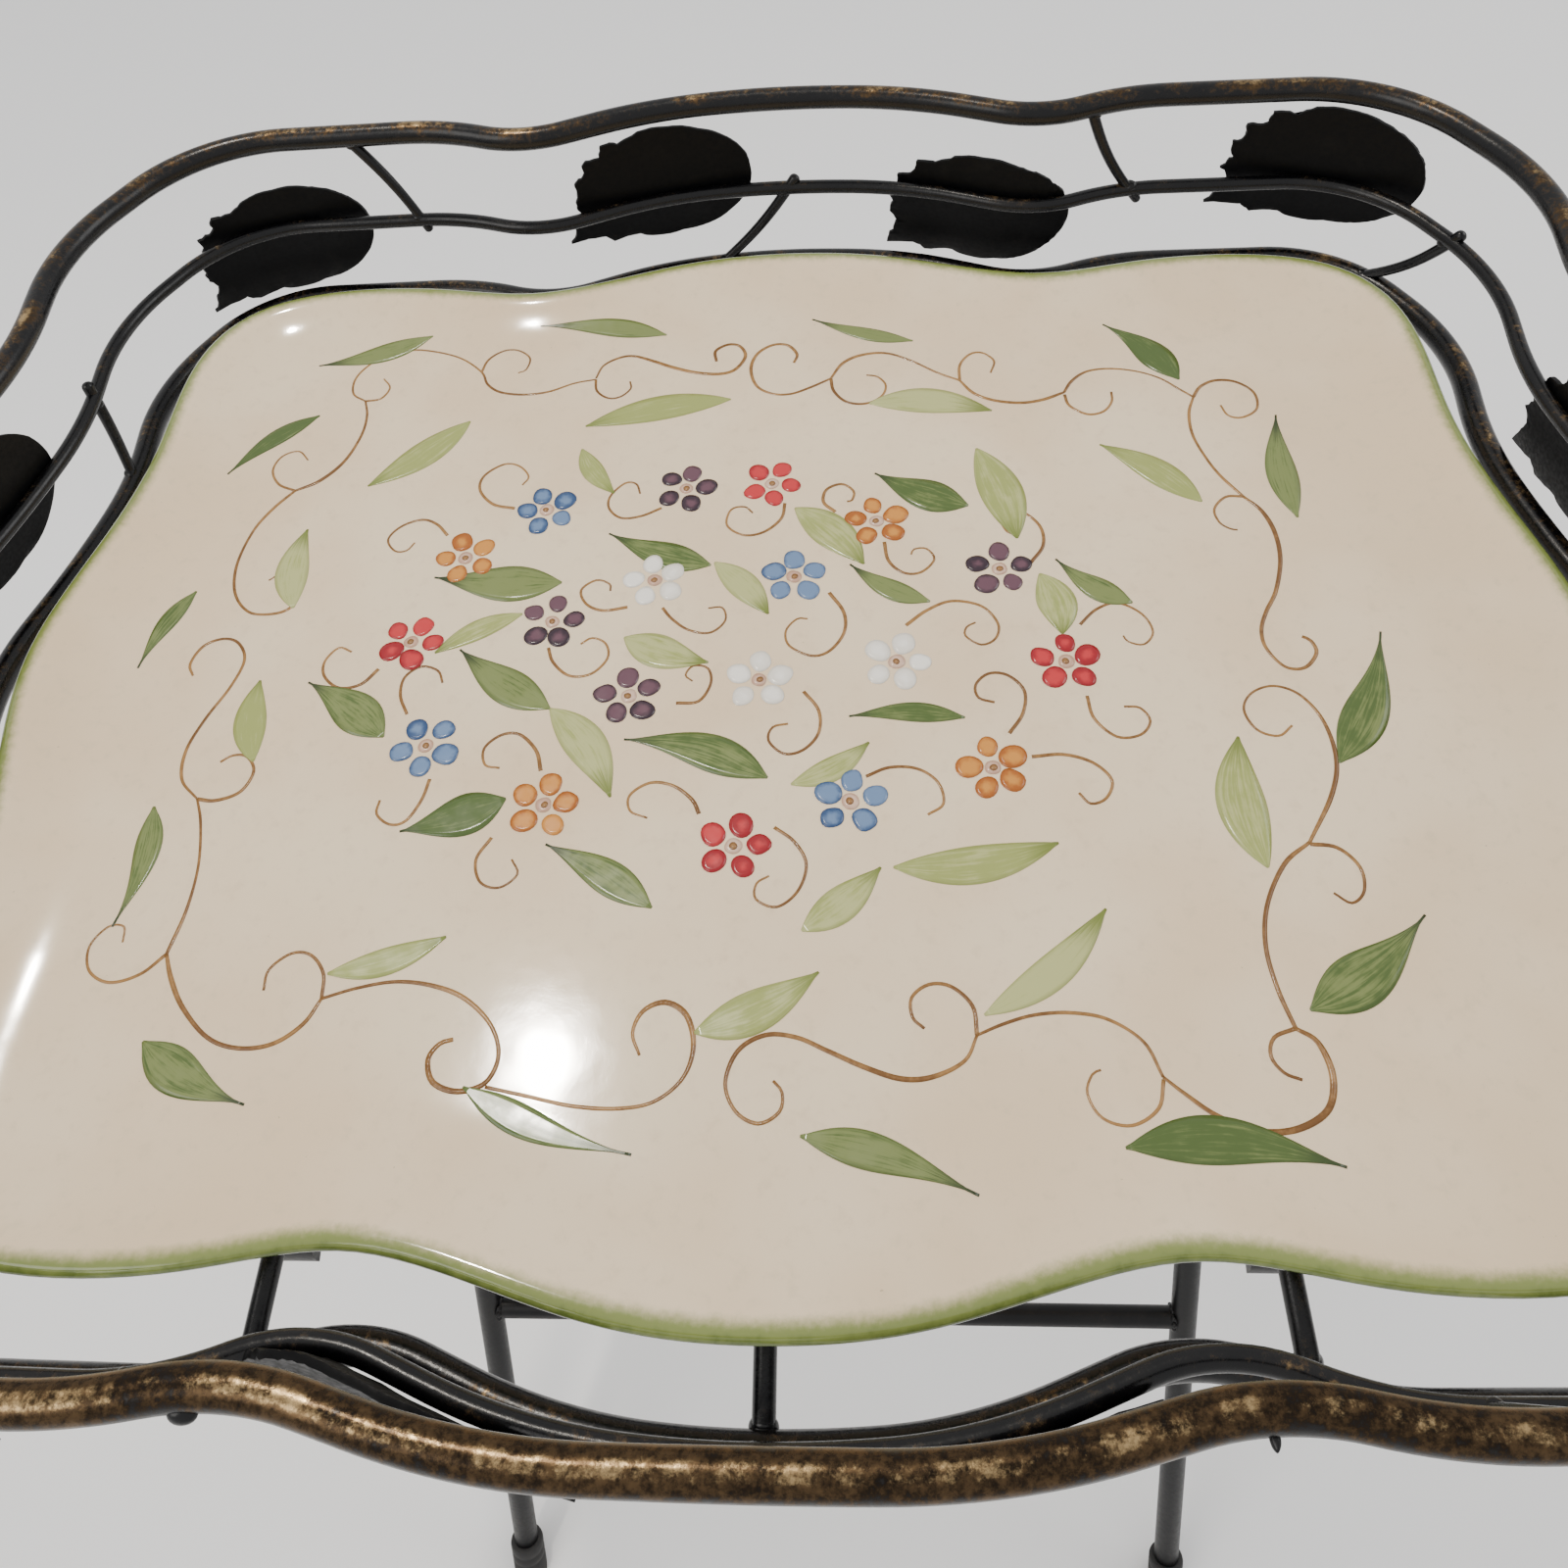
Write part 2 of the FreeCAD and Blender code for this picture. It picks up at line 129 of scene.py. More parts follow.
TOP_OUTSET, TOP_HEIGHT = 27, 632
VINE_OUTSET, VINE_HEIGHT = 22, 599
RING_OUTSET, RING_HEIGHT = 18, 569.5
RAIL_RADIUS, VINE_RADIUS, ROD_RADIUS = 4, 2.5, 2.5
TOP_RAIL = rail_path(TOP_OUTSET, TOP_HEIGHT, True)
VINE_RAIL = rail_path(VINE_OUTSET, VINE_HEIGHT)
LOWER_RING = rail_path(RING_OUTSET, RING_HEIGHT)

# ---------------------------------------------------------------- meshes


def add_object(name, mesh):
    obj = bpy.data.objects.new(name, mesh)
    scene.collection.objects.link(obj)
    return obj


def mesh_object(name, points, faces, **attributes):
    """An object from points in millimetres, faces, and one number per point for each attribute."""
    mesh = bpy.data.meshes.new(name)
    mesh.from_pydata([point * MM for point in points], [], faces)
    for key, values in attributes.items():
        mesh.attributes.new(key, "FLOAT", "POINT").data.foreach_set("value", values)
    mesh.polygons.foreach_set("use_smooth", [True] * len(mesh.polygons))
    return add_object(name, mesh)


def rings_to_faces(count, sides, closed):
    """Quads between rings of points laid one after another."""
    faces = []
    for ring in range(count if closed else count - 1):
        here, there = ring * sides, (ring + 1) % count * sides
        for side in range(sides):
            following = (side + 1) % sides
            faces.append((here + side, here + following, there + following, there + side))
    return faces


def tube(name, path, radius, sides=16, closed=False, rub=lambda point: 0.0, dome=0.6):
    """A round bar along a path; radius is a number or a function of the share along the path."""
    radius_at = radius if callable(radius) else lambda share: radius
    stations = []
    count = len(path)
    for index, point in enumerate(path):
        before = path[index - 1] if closed or index else path[0]
        after = path[(index + 1) % count] if closed or index < count - 1 else path[-1]
        stations.append((point, (after - before).normalized(), radius_at(index / (count - 1))))
    if not closed:
        for end, sign in ((0, -1), (-1, 1)):
            point, tangent, size = stations[end]
            extra = [(point + tangent * (sign * dome * size * math.sin(angle)), tangent,
                      size * math.cos(angle))
                     for angle in DOME_ANGLES]
            stations = stations + extra if sign > 0 else extra[::-1] + stations
    normal = UP - stations[0][1] * UP.dot(stations[0][1])
    if normal.length < 0.1:
        normal = RIGHT.copy()
    points, ups, rubs = [], [], []
    for point, tangent, size in stations:
        normal = (normal - tangent * normal.dot(tangent)).normalized()
        side = tangent.cross(normal)
        for index in range(sides):
            angle = 2 * math.pi * index / sides
            direction = normal * math.cos(angle) + side * math.sin(angle)
            points.append(point + direction * size)
            ups.append(direction.z)
            rubs.append(rub(point))
    faces = rings_to_faces(len(stations), sides, closed)
    if not closed:
        faces.append(tuple(range(sides))[::-1])
        faces.append(tuple(range(len(points) - sides, len(points))))
    return outward(mesh_object(name, points, faces, up=ups, rub=rubs))


def deselect():
    bpy.ops.object.select_all(action="DESELECT")


def select_only(obj):
    deselect()
    obj.select_set(True)
    bpy.context.view_layer.objects.active = obj


def edit_all(obj):
    """Open one object in edit mode with all of it selected."""
    select_only(obj)
    bpy.ops.object.mode_set(mode="EDIT")
    bpy.ops.mesh.select_all(action="SELECT")


def close_edit():
    """Turn every face outwards and leave edit mode."""
    bpy.ops.mesh.select_all(action="SELECT")
    bpy.ops.mesh.normals_make_consistent(inside=False)
    bpy.ops.object.mode_set(mode="OBJECT")


def turned_bar(name, profile, centre, axis, sides=32, rub=0.0):
    """A turned piece: a disc extruded and scaled along its axis, profile being (distance, radius)."""
    deselect()
    bpy.ops.mesh.primitive_circle_add(vertices=sides, radius=profile[0][1] * MM, fill_type="NGON")
    bar = bpy.context.object
    edit_all(bar)
    for (before, size), (along, radius) in zip(profile, profile[1:]):
        step = (0, 0, (along - before) * MM)
        bpy.ops.mesh.extrude_region_move(TRANSFORM_OT_translate={"value": step})
        bpy.ops.transform.resize(value=(radius / size, radius / size, 1),
                                 center_override=(0, 0, (along - profile[0][0]) * MM))
    close_edit()
    bar.name = bar.data.name = name
    bar.matrix_world = (Matrix.Translation((centre + axis * profile[0][0]) * MM)
                        @ axis.to_track_quat("Z", "Y").to_matrix().to_4x4())
    bpy.ops.object.transform_apply(location=True, rotation=True, scale=True)
    smooth_by_angle(bar)
    ups = [vertex.normal.z for vertex in bar.data.vertices]
    for key, values in (("up", ups), ("rub", [rub] * len(ups))):
        bar.data.attributes.new(key, "FLOAT", "POINT").data.foreach_set("value", values)
    return bar


def straight_bar(name, start, end, radius, sides, dome):
    """A straight round bar with domed ends."""
    length = (end - start).length
    cap = [(dome * radius * math.sin(angle), radius * math.cos(angle)) for angle in DOME_ANGLES]
    profile = ([(-along, size) for along, size in cap[::-1]] + [(0, radius), (length, radius)]
               + [(length + along, size) for along, size in cap])
    return turned_bar(name, profile, start, (end - start).normalized(), sides)


def twin_of(original, name, move=Vector(), turn=0.0):
    """A copy with its own mesh, turned about Z and moved."""
    twin = original.copy()
    twin.data = original.data.copy()
    twin.name = twin.data.name = name
    scene.collection.objects.link(twin)
    twin.data.transform(Matrix.Translation(move * MM) @ Matrix.Rotation(turn, 4, "Z"))
    return twin


def outward(obj):
    """Turn every face of a closed mesh outwards."""
    edit_all(obj)
    close_edit()
    deselect()
    return obj


def make_bead():
    """One lumpy weld bead of radius 1 mm, to be copied to every weld."""
    deselect()
    bpy.ops.mesh.primitive_ico_sphere_add(subdivisions=2, radius=MM)
    bead = bpy.context.object
    edit_all(bead)
    bpy.ops.transform.vertex_random(offset=0.13 * MM, uniform=0, normal=1, seed=4)
    close_edit()
    bead.modifiers.new("round", "SUBSURF").levels = 1
    bpy.ops.object.modifier_apply(modifier="round")
    bpy.ops.object.shade_smooth()
    deselect()
    return bead


BEAD = make_bead()


def blob(name, centre, radius, squash=(1, 1, 1), seed=0.0):
    """A weld bead copied to its place, turned its own way and squashed."""
    bead = twin_of(BEAD, name)
    turn = Matrix.Rotation(seed * 2.3, 4, "Z") @ Matrix.Rotation(seed * 1.1, 4, "X")
    bead.data.transform(Matrix.Translation(centre * MM) @ Matrix.Diagonal((*squash, 1))
                        @ Matrix.Scale(radius, 4) @ turn)
    return bead


def joined(name, pieces):
    """Several pieces made one object."""
    deselect()
    for piece in pieces:
        piece.select_set(True)
    bpy.context.view_layer.objects.active = pieces[0]
    if len(pieces) > 1:
        bpy.ops.object.join()
    pieces[0].name = pieces[0].data.name = name
    deselect()
    return pieces[0]


def smooth_by_angle(obj):
    """Shade smooth, but keep edges over the crease angle sharp."""
    select_only(obj)
    bpy.ops.object.shade_smooth_by_angle(angle=CREASE_ANGLE)
    deselect()


def soften(obj, width, angle):
    """Give the edges over an angle in degrees a narrow bevel."""
    soft = obj.modifiers.new("soft", "BEVEL")
    soft.width = width * MM
    soft.segments = 2
    soft.limit_method = "ANGLE"
    soft.angle_limit = math.radians(angle)


def apply_modifiers(obj):
    select_only(obj)
    for modifier in list(obj.modifiers):
        bpy.ops.object.modifier_apply(modifier=modifier.name)
    deselect()


# ---------------------------------------------------------------- shaders


class Shade:
    """One output in a material's tree; arithmetic on it adds Math nodes."""

    def __init__(self, tree, socket):
        self.tree = tree
        self.socket = socket

    def make(self, kind, output=0, inputs=None, **settings):
        """Any other node, its inputs given by name or number."""
        node = self.tree.nodes.new(kind)
        for key, value in settings.items():
            setattr(node, key, value)
        for key, value in (inputs or {}).items():
            if isinstance(value, Shade):
                self.tree.links.new(value.socket, node.inputs[key])
            else:
                node.inputs[key].default_value = value
        return Shade(self.tree, node.outputs[output])

    def math(self, operation, *values):
        return self.make("ShaderNodeMath", inputs=dict(enumerate(values)), operation=operation)

    def __add__(self, other):
        return self.math("ADD", self, other)

    def __mul__(self, other):
        return self.math("MULTIPLY", self, other)

    def __sub__(self, other):
        return self.math("SUBTRACT", self, other)

    def __abs__(self):
        return self.math("ABSOLUTE", self)


def noise_at(where, scale, detail=4.0, roughness=0.55):
    inputs = {"Vector": where, "Scale": scale, "Detail": detail, "Roughness": roughness}
    return where.make("ShaderNodeTexNoise", "Fac", inputs)


def fade(value, low, high, to_low=0.0, to_high=1.0):
    """A smooth step of a value between two limits."""
    inputs = {"Value": value, "From Min": low, "From Max": high, "To Min": to_low, "To Max": to_high}
    return value.make("ShaderNodeMapRange", 0, inputs, interpolation_type="SMOOTHSTEP")


def mix(factor, first, second):
    """Two colours mixed by a factor."""
    return factor.make("ShaderNodeMix", 2, {0: factor, 6: first, 7: second}, data_type="RGBA")


def attribute(where, name):
    return where.make("ShaderNodeAttribute", "Fac", attribute_name=name)


def bump(height, strength, distance):
    inputs = {"Height": height, "Strength": strength, "Distance": distance}
    return height.make("ShaderNodeBump", "Normal", inputs)


def rgb(red, green, blue):
    """A display colour, 0 to 255, as a shader colour."""
    linear = [c / 255 / 12.92 if c <= 10 else ((c / 255 + 0.055) / 1.055) ** 2.4
              for c in (red, green, blue)]
    return (*linear, 1.0)


def material(name, build, **constants):
    """A material: build takes the Object coordinates and gives what goes into each shader socket."""
    made = bpy.data.materials.new(name)
    made.use_nodes = True
    tree = made.node_tree
    surface = tree.nodes["Principled BSDF"]
    for key, value in constants.items():
        surface.inputs[key.replace("_", " ")].default_value = value
    where = Shade(tree, tree.nodes.new("ShaderNodeTexCoord").outputs["Object"])
    for socket, value in build(where).items():
        tree.links.new(value.socket, surface.inputs[socket])
    return made


def glaze(where):
    """Cream glaze with faint mottling and specks; a sprayed green band round the rim, darker on the outer
    side under the lip as painted shade.
    """
    cloud = noise_at(where, 14, 3)
    grain = noise_at(where, 260, 3, 0.6)
    specks = fade(noise_at(where, 900, 2, 0.5), 0.765, 0.80)
    body = mix(fade(cloud, 0.35, 0.68), rgb(238, 217, 184), rgb(230, 205, 169))
    body = mix(fade(grain, 0.5, 0.8) * 0.35, body, rgb(208, 188, 156))
    body = mix(specks * 0.4, body, rgb(120, 95, 65))
    band = attribute(where, "band")
    uneven = (noise_at(where, 420, 3, 0.7) - 0.5) * 0.35
    spray = fade(band + uneven + (noise_at(where, 30) - 0.5) * 0.3, 0.18, 0.75)
    # The green band is the glaze's own colour; its darker green where the band is strongest, on the outer
    # side under the lip, is painted shade.
    green = mix(fade(band + (grain - 0.5) * 0.5, 0.75, 1.15), rgb(128, 140, 74), rgb(74, 92, 38))
    body = mix(spray, body, green)
    return {
        "Base Color": body,
        "Roughness": fade(cloud, 0.3, 0.7, 0.08, 0.12),
        "Normal": bump(noise_at(where, 55, 2) + noise_at(where, 700, 2) * 0.05, 0.12, 0.0006),
    }


def iron(limit, painted_highlight_strength, shine):
    """Black paint over bronze, rubbed through where the wear is over a limit: more on the upper side,
    which also paints the sides and underside darker as shade; a pale painted highlight along the top
    crest.
    """
    def build(where):
        coarse = noise_at(where, 60, 5, 0.62)
        fine = noise_at(where, 520, 5, 0.7)
        above = attribute(where, "up")
        # Rubbed through more on the upper side: real wear, and painted shade that leaves the sides and
        # underside black.
        wear_and_shade = coarse * 0.45 + fine * 0.45 + above * 0.17 + attribute(where, "rub") * 0.20
        mask = fade(wear_and_shade, limit - 0.05, limit + 0.12)
        # Painted highlight: pale patches where the bronze shows, gathered on the bar's top crest, with
        # faint pale flecks elsewhere.
        crest = fade(above, 0.80, 0.99)
        patches = noise_at(where, 300, 6, 0.8) + (coarse - 0.5) * 0.7 + crest * 0.20
        painted_highlight = fade(patches, 0.66, 0.92) * painted_highlight_strength * mask
        tone = mix(fade(fine + (coarse - 0.5) * 0.6, 0.3, 0.75), rgb(34, 27, 21), rgb(90, 71, 49))
        bronze = mix(painted_highlight * (crest * 0.75 + 0.15), tone, rgb(186, 158, 114))
        black = mix(fade(coarse, 0.4, 0.75), rgb(5, 5, 7), rgb(18, 16, 15))
        return {
            "Base Color": mix(mask, black, bronze),
            "Metallic": fade(mask, 0, 1, 0.0, 0.9),
            "Roughness": fade(fine, 0.25, 0.75, 0.42 - shine, 0.56 - shine),
            "Normal": bump(coarse + fine * 0.35, 0.3, 0.0005),
        }
    return build


def sheet_iron(where):
    """Satin black sheet with a faint brushed grain."""
    coarse = noise_at(where, 90, 4, 0.6)
    fine = noise_at(where, 700, 3, 0.6)
    return {
        "Base Color": mix(fade(coarse, 0.55, 0.75), rgb(4, 4, 5), rgb(13, 12, 11)),
        "Roughness": fade(fine, 0.3, 0.7, 0.42, 0.6),
        "Normal": bump(coarse + fine * 0.3, 0.3, 0.0004),
    }


def rubber(where):
    fine = noise_at(where, 500, 3)
    return {
        "Base Color": mix(fine, rgb(24, 24, 25), rgb(38, 37, 36)),
        "Normal": bump(fine, 0.2, 0.0003),
    }


def dab(light, dark):
    """A loaded brush's dab: darker where the paint pools, paler where it is thin."""
    def build(where):
        tone = attribute(where, "tone")
        uneven = (noise_at(where, 500, 3) - 0.5) * 0.9 + tone * 0.4
        pool = fade(attribute(where, "edge") + uneven, 0.35, 1.0)
        return {
            "Base Color": mix(pool, rgb(*light), rgb(*dark)),
            "Roughness": fade(noise_at(where, 300, 2), 0.3, 0.7, 0.16, 0.26),
        }
    return build


def stroke(tip, middle, light):
    """A leaf of one brush stroke: dark at its tip, streaked along its length."""
    def build(where):
        along = attribute(where, "along")
        side = attribute(where, "side")
        tone = attribute(where, "tone")
        stretched = {0: along * 2.2, 1: side * 4.5, 2: tone * 40}
        streak_place = where.make("ShaderNodeCombineXYZ", 0, stretched)
        streak = noise_at(streak_place, 1.6, 3, 0.6)
        wash = noise_at(where, 160, 3, 0.6)
        body = mix(fade(streak + tone * 0.2 + (wash - 0.5) * 0.5, 0.34, 0.66), rgb(*middle), rgb(*light))
        edge = fade(abs(side) + (wash - 0.5) * 0.4, 0.72, 1.0) * 0.45
        body = mix(edge, body, rgb(*middle))
        at_tip = fade(along + (streak - 0.5) * 0.3 - tone * 0.05, 0.30, 0.0)
        return {
            "Base Color": mix(at_tip, body, rgb(*tip)),
            "Roughness": fade(wash, 0.3, 0.7, 0.15, 0.24),
        }
    return build


def line_paint(where):
    """Thin brown line: darker and lighter along its length."""
    slow = noise_at(where, 45, 3, 0.6)
    quick = noise_at(where, 600, 3, 0.6)
    thin = fade(slow + (quick - 0.5) * 0.5, 0.35, 0.68)
    return {
        "Base Color": mix(thin, rgb(112, 74, 32), rgb(160, 118, 66)),
        "Roughness": fade(quick, 0.3, 0.7, 0.15, 0.25),
    }


def pale_floor(where):
    return {"Base Color": mix(noise_at(where, 3, 3), rgb(248, 248, 248), rgb(252, 252, 252))}


GLAZE = material("glaze", glaze, Coat_Weight=0.25, Coat_Roughness=0.04)
# The second number sets how strong the painted highlight along the crest is.
RAIL_IRON = material("rail_iron", iron(0.66, 1.0, 0.22), Specular_IOR_Level=0.35)
THIN_IRON = material("thin_iron", iron(0.70, 0.9, 0.24), Specular_IOR_Level=0.35)
LEG_IRON = material("leg_iron", iron(0.74, 0.5, 0.1), Specular_IOR_Level=0.3)
SHEET_IRON = material("sheet_iron", sheet_iron, Specular_IOR_Level=0.16)
RUBBER = material("rubber", rubber, Roughness=0.7)
PALE_FLOOR = material("pale_floor", pale_floor, Roughness=0.85)
PETAL_PAINT = {
    "red": material("paint_red", dab((196, 50, 54), (150, 18, 30))),
    "blue": material("paint_blue", dab((104, 130, 166), (48, 76, 118))),
    "plum": material("paint_plum", dab((98, 66, 78), (48, 30, 42))),
    "ochre": material("paint_ochre", dab((206, 138, 58), (164, 90, 24))),
    "white": material("paint_white", dab((243, 239, 230), (230, 224, 212))),
}
HEART_PAINT = material("paint_heart", dab((214, 182, 160), (196, 156, 132)))
DOT_PAINT = material("paint_dot", dab((150, 108, 62), (120, 82, 44)))
DARK_LEAF = material("paint_leaf_dark", stroke((38, 52, 20), (74, 94, 42), (118, 130, 74)))
LIGHT_LEAF = material("paint_leaf_light", stroke((112, 124, 54), (152, 160, 90), (180, 182, 122)))
VINE_PAINT = material("paint_vine", line_paint)


def finish(piece, paint, body, slot_name, *nodes):
    """Give a piece its material and its body, and hide the CAD nodes that it stands for; slot_name is not
    used.
    """
    piece.data.materials.clear()
    piece.data.materials.append(paint)
    if nodes:
        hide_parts(*nodes)
    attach(piece, body)
    return piece


# ---------------------------------------------------------------- platter

PLATTER_BASE = 572.3
RIM_HEIGHT = 590.3
FOOT_HOLLOW, DISH_FLOOR = 3, 10
PLATTER_FORWARD = Vector((0, -3, 0))


def dish_slope(inset):
    """The dish's height over the platter's bottom, falling from the rim to its floor."""
    return DISH_FLOOR + 7.1 * max(0.0, 1 - (inset - 6) / 31) ** 2.2


# (inset from the rim, height over the bottom, strength of the green band, whose highest values on the
# outer side under the lip also paint shade), from the foot outwards.
PROFILE = [
    (52, 3, 0), (51.4, 2.9, 0), (51, 2.4, 0), (50.7, 0.6, 0), (50.1, 0.1, 0), (49.2, 0, 0),
    (43.6, 0, 0), (42.7, 0.2, 0), (42.1, 0.9, 0), (41.2, 2, 0), (39, 3, 0), (34, 4.6, 0), (27, 6.7, 0),
    (20, 8.8, 0), (14, 10.6, 0), (10, 11.9, 0), (7, 12.9, 0.15), (4.5, 13.8, 0.6), (2.6, 14.45, 1),
    (1.2, 15, 1.1), (0.4, 15.5, 1.1), (0.05, 16.1, 1), (0.1, 16.7, 0.95), (0.5, 17.3, 0.9),
    (1.2, 17.7, 0.85), (2.2, 17.93, 0.72), (3.3, 17.95, 0.55), (4.6, 17.65, 0.36), (6, 17.1, 0.16)]
PROFILE += [(inset, dish_slope(inset), 0) for inset in (7.5, 9, 11, 13.5, 16, 19, 22, 25, 28, 31, 34, 37)]
INNER_SHARES = (0.93, 0.84, 0.72, 0.58, 0.42, 0.26, 0.12)


def make_platter():
    """The dish as one closed skin: foot hollow, foot ring, outside, rolled rim, dish."""
    lift = PLATTER_FORWARD + UP * PLATTER_BASE
    rings = [([point + lift + UP * height for point in smooth_loop(inset)], band)
             for inset, height, band in PROFILE]
    hollow, floor = rings[0][0], rings[-1][0]

    def shrunk(ring, share):
        middle = lift + UP * (ring[0].z - lift.z)
        return [middle + (point - middle) * share for point in ring]

    rings = ([(shrunk(hollow, share), 0) for share in reversed(INNER_SHARES)] + rings
             + [(shrunk(floor, share), 0) for share in INNER_SHARES])
    sides = len(floor)
    points = [point for ring, _ in rings for point in ring]
    bands = [band for ring, band in rings for _ in ring]
    faces = rings_to_faces(len(rings), sides, False)
    for middle, first in ((lift + UP * FOOT_HOLLOW, 0), (lift + UP * DISH_FLOOR, len(points) - sides)):
        points.append(middle)
        bands.append(0)
        faces += [(len(points) - 1, first + index, first + (index + 1) % sides)
                  for index in range(sides)]
    return outward(mesh_object("platter_body", points, faces, band=bands))


platter = make_platter()
finish(platter, GLAZE, "platter", "stoneware", "platter")

# ---------------------------------------------------------------- painted pattern

# The pattern is drawn on the plane of the rim and let down onto the dish towards a point in front.
dish_edit = bmesh.new()
dish_edit.from_mesh(platter.data)
DISH = BVHTree.FromBMesh(dish_edit)
dish_edit.free()
EYE = Vector((24.4, -218.5, 304)) + PLATTER_FORWARD + UP * RIM_HEIGHT


def lay(x, y):
    """Where a point of the pattern lies on the dish, and the dish's normal there, in millimetres."""
    drawn = Vector((x, y, RIM_HEIGHT)) + PLATTER_FORWARD
    spot, normal, _, _ = DISH.ray_cast(EYE * MM, (drawn - EYE).normalized())
    if normal.z < 0:
        normal = -normal
    return spot / MM, normal


PAINT_DEPTH = -0.35


class Paint:
    """Many thin islands of paint on the dish, each island closed."""

    def __init__(self, lift):
        self.lift = lift
        self.points = []
        self.faces = []
        self.values = {"along": [], "side": [], "tone": [], "edge": []}
        self.count = 0

    def island(self, flat, faces, border, **values):
        """Flat is the island's points, faces their polygons and border its edge in order."""
        start = len(self.points)
        extra = (self.count * 7 % 11) * 0.004
        self.count += 1
        for layer_lift in (self.lift + extra, PAINT_DEPTH):
            for x, y in flat:
                spot, normal = lay(x, y)
                self.points.append(spot + normal * layer_lift)
            for key, numbers in self.values.items():
                given = values.get(key, 0.0)
                numbers += given if isinstance(given, list) else [given] * len(flat)
        under = start + len(flat)
        for face in faces:
            self.faces.append(tuple(start + index for index in face))
            self.faces.append(tuple(under + index for index in reversed(face)))
        for here, there in zip(border, border[1:] + border[:1]):
            self.faces.append((start + there, start + here, under + here, under + there))

    def ribbon(self, spine, half_widths, columns, tone):
        """A strip along a spine of points, its columns spread over the width."""
        flat, along, side = [], [], []
        count = len(spine)
        for index, (point, half) in enumerate(zip(spine, half_widths)):
            run = (spine[min(index + 1, count - 1)] - spine[max(index - 1, 0)]).normalized()
            across = Vector((-run.y, run.x))
            for column in range(columns):
                share = 2 * column / (columns - 1) - 1
                place = point + across * (half * share)
                flat.append((place.x, place.y))
                along.append(index / (count - 1))
                side.append(share)
        faces = []
        for row in range(count - 1):
            for column in range(columns - 1):
                first = row * columns + column
                faces.append((first, first + columns, first + columns + 1, first + 1))
        left = [row * columns for row in range(count)]
        right = [row * columns + columns - 1 for row in range(count)]
        border = left + [(count - 1) * columns + column for column in range(1, columns - 1)]
        border += right[::-1] + [column for column in range(columns - 2, 0, -1)]
        self.island(flat, faces, border, along=along, side=side, tone=tone)

    def disc(self, centre, reach, stretch, turn, tone, rng, rings=3, sides=18):
        """A round dab with a wandering edge, stretched along one direction."""
        flat, edge = [centre], [0.0]
        wander = [1 + rng.uniform(-0.07, 0.07) for _ in range(5)]
        for ring in range(1, rings + 1):
            for index in range(sides):
                angle = 2 * math.pi * index / sides
                wave = wander[0] + 0.5 * sum((wander[k] - 1) * math.cos(k * angle + k)
                                             for k in range(1, 5))
                size = reach * ring / rings * wave
                x, y = size * stretch * math.cos(angle), size * math.sin(angle)
                flat.append((centre[0] + x * math.cos(turn) - y * math.sin(turn),
                             centre[1] + x * math.sin(turn) + y * math.cos(turn)))
                edge.append(ring / rings)
        faces = [(0, 1 + index, 1 + (index + 1) % sides) for index in range(sides)]
        for ring in range(rings - 1):
            here, there = 1 + ring * sides, 1 + (ring + 1) * sides
            for index in range(sides):
                following = (index + 1) % sides
                faces.append((here + index, there + index, there + following, here + following))
        border = [1 + (rings - 1) * sides + index for index in range(sides)]
        self.island(flat, faces, border, edge=edge, tone=tone)

    def done(self, name, paint):
        piece = outward(mesh_object(name, self.points, self.faces, **self.values))
        return finish(piece, paint, "platter", "stoneware")


def through(points, step=1.0):
    """A smooth curve through points, as close points."""
    knots = [Vector(point) for point in points]
    knots = [knots[0] * 2 - knots[1]] + knots + [knots[-1] * 2 - knots[-2]]
    curve = []
    for a, b, c, d in zip(knots, knots[1:], knots[2:], knots[3:]):
        count = max(2, round((c - b).length / step))
        for index in range(count):
            t = index / count
            curve.append(0.5 * (b * 2 + (c - a) * t + (a * 2 - b * 5 + c * 4 - d) * t ** 2
                                + (b * 3 - a - c * 3 + d) * t ** 3))
    return curve + [knots[-2]]


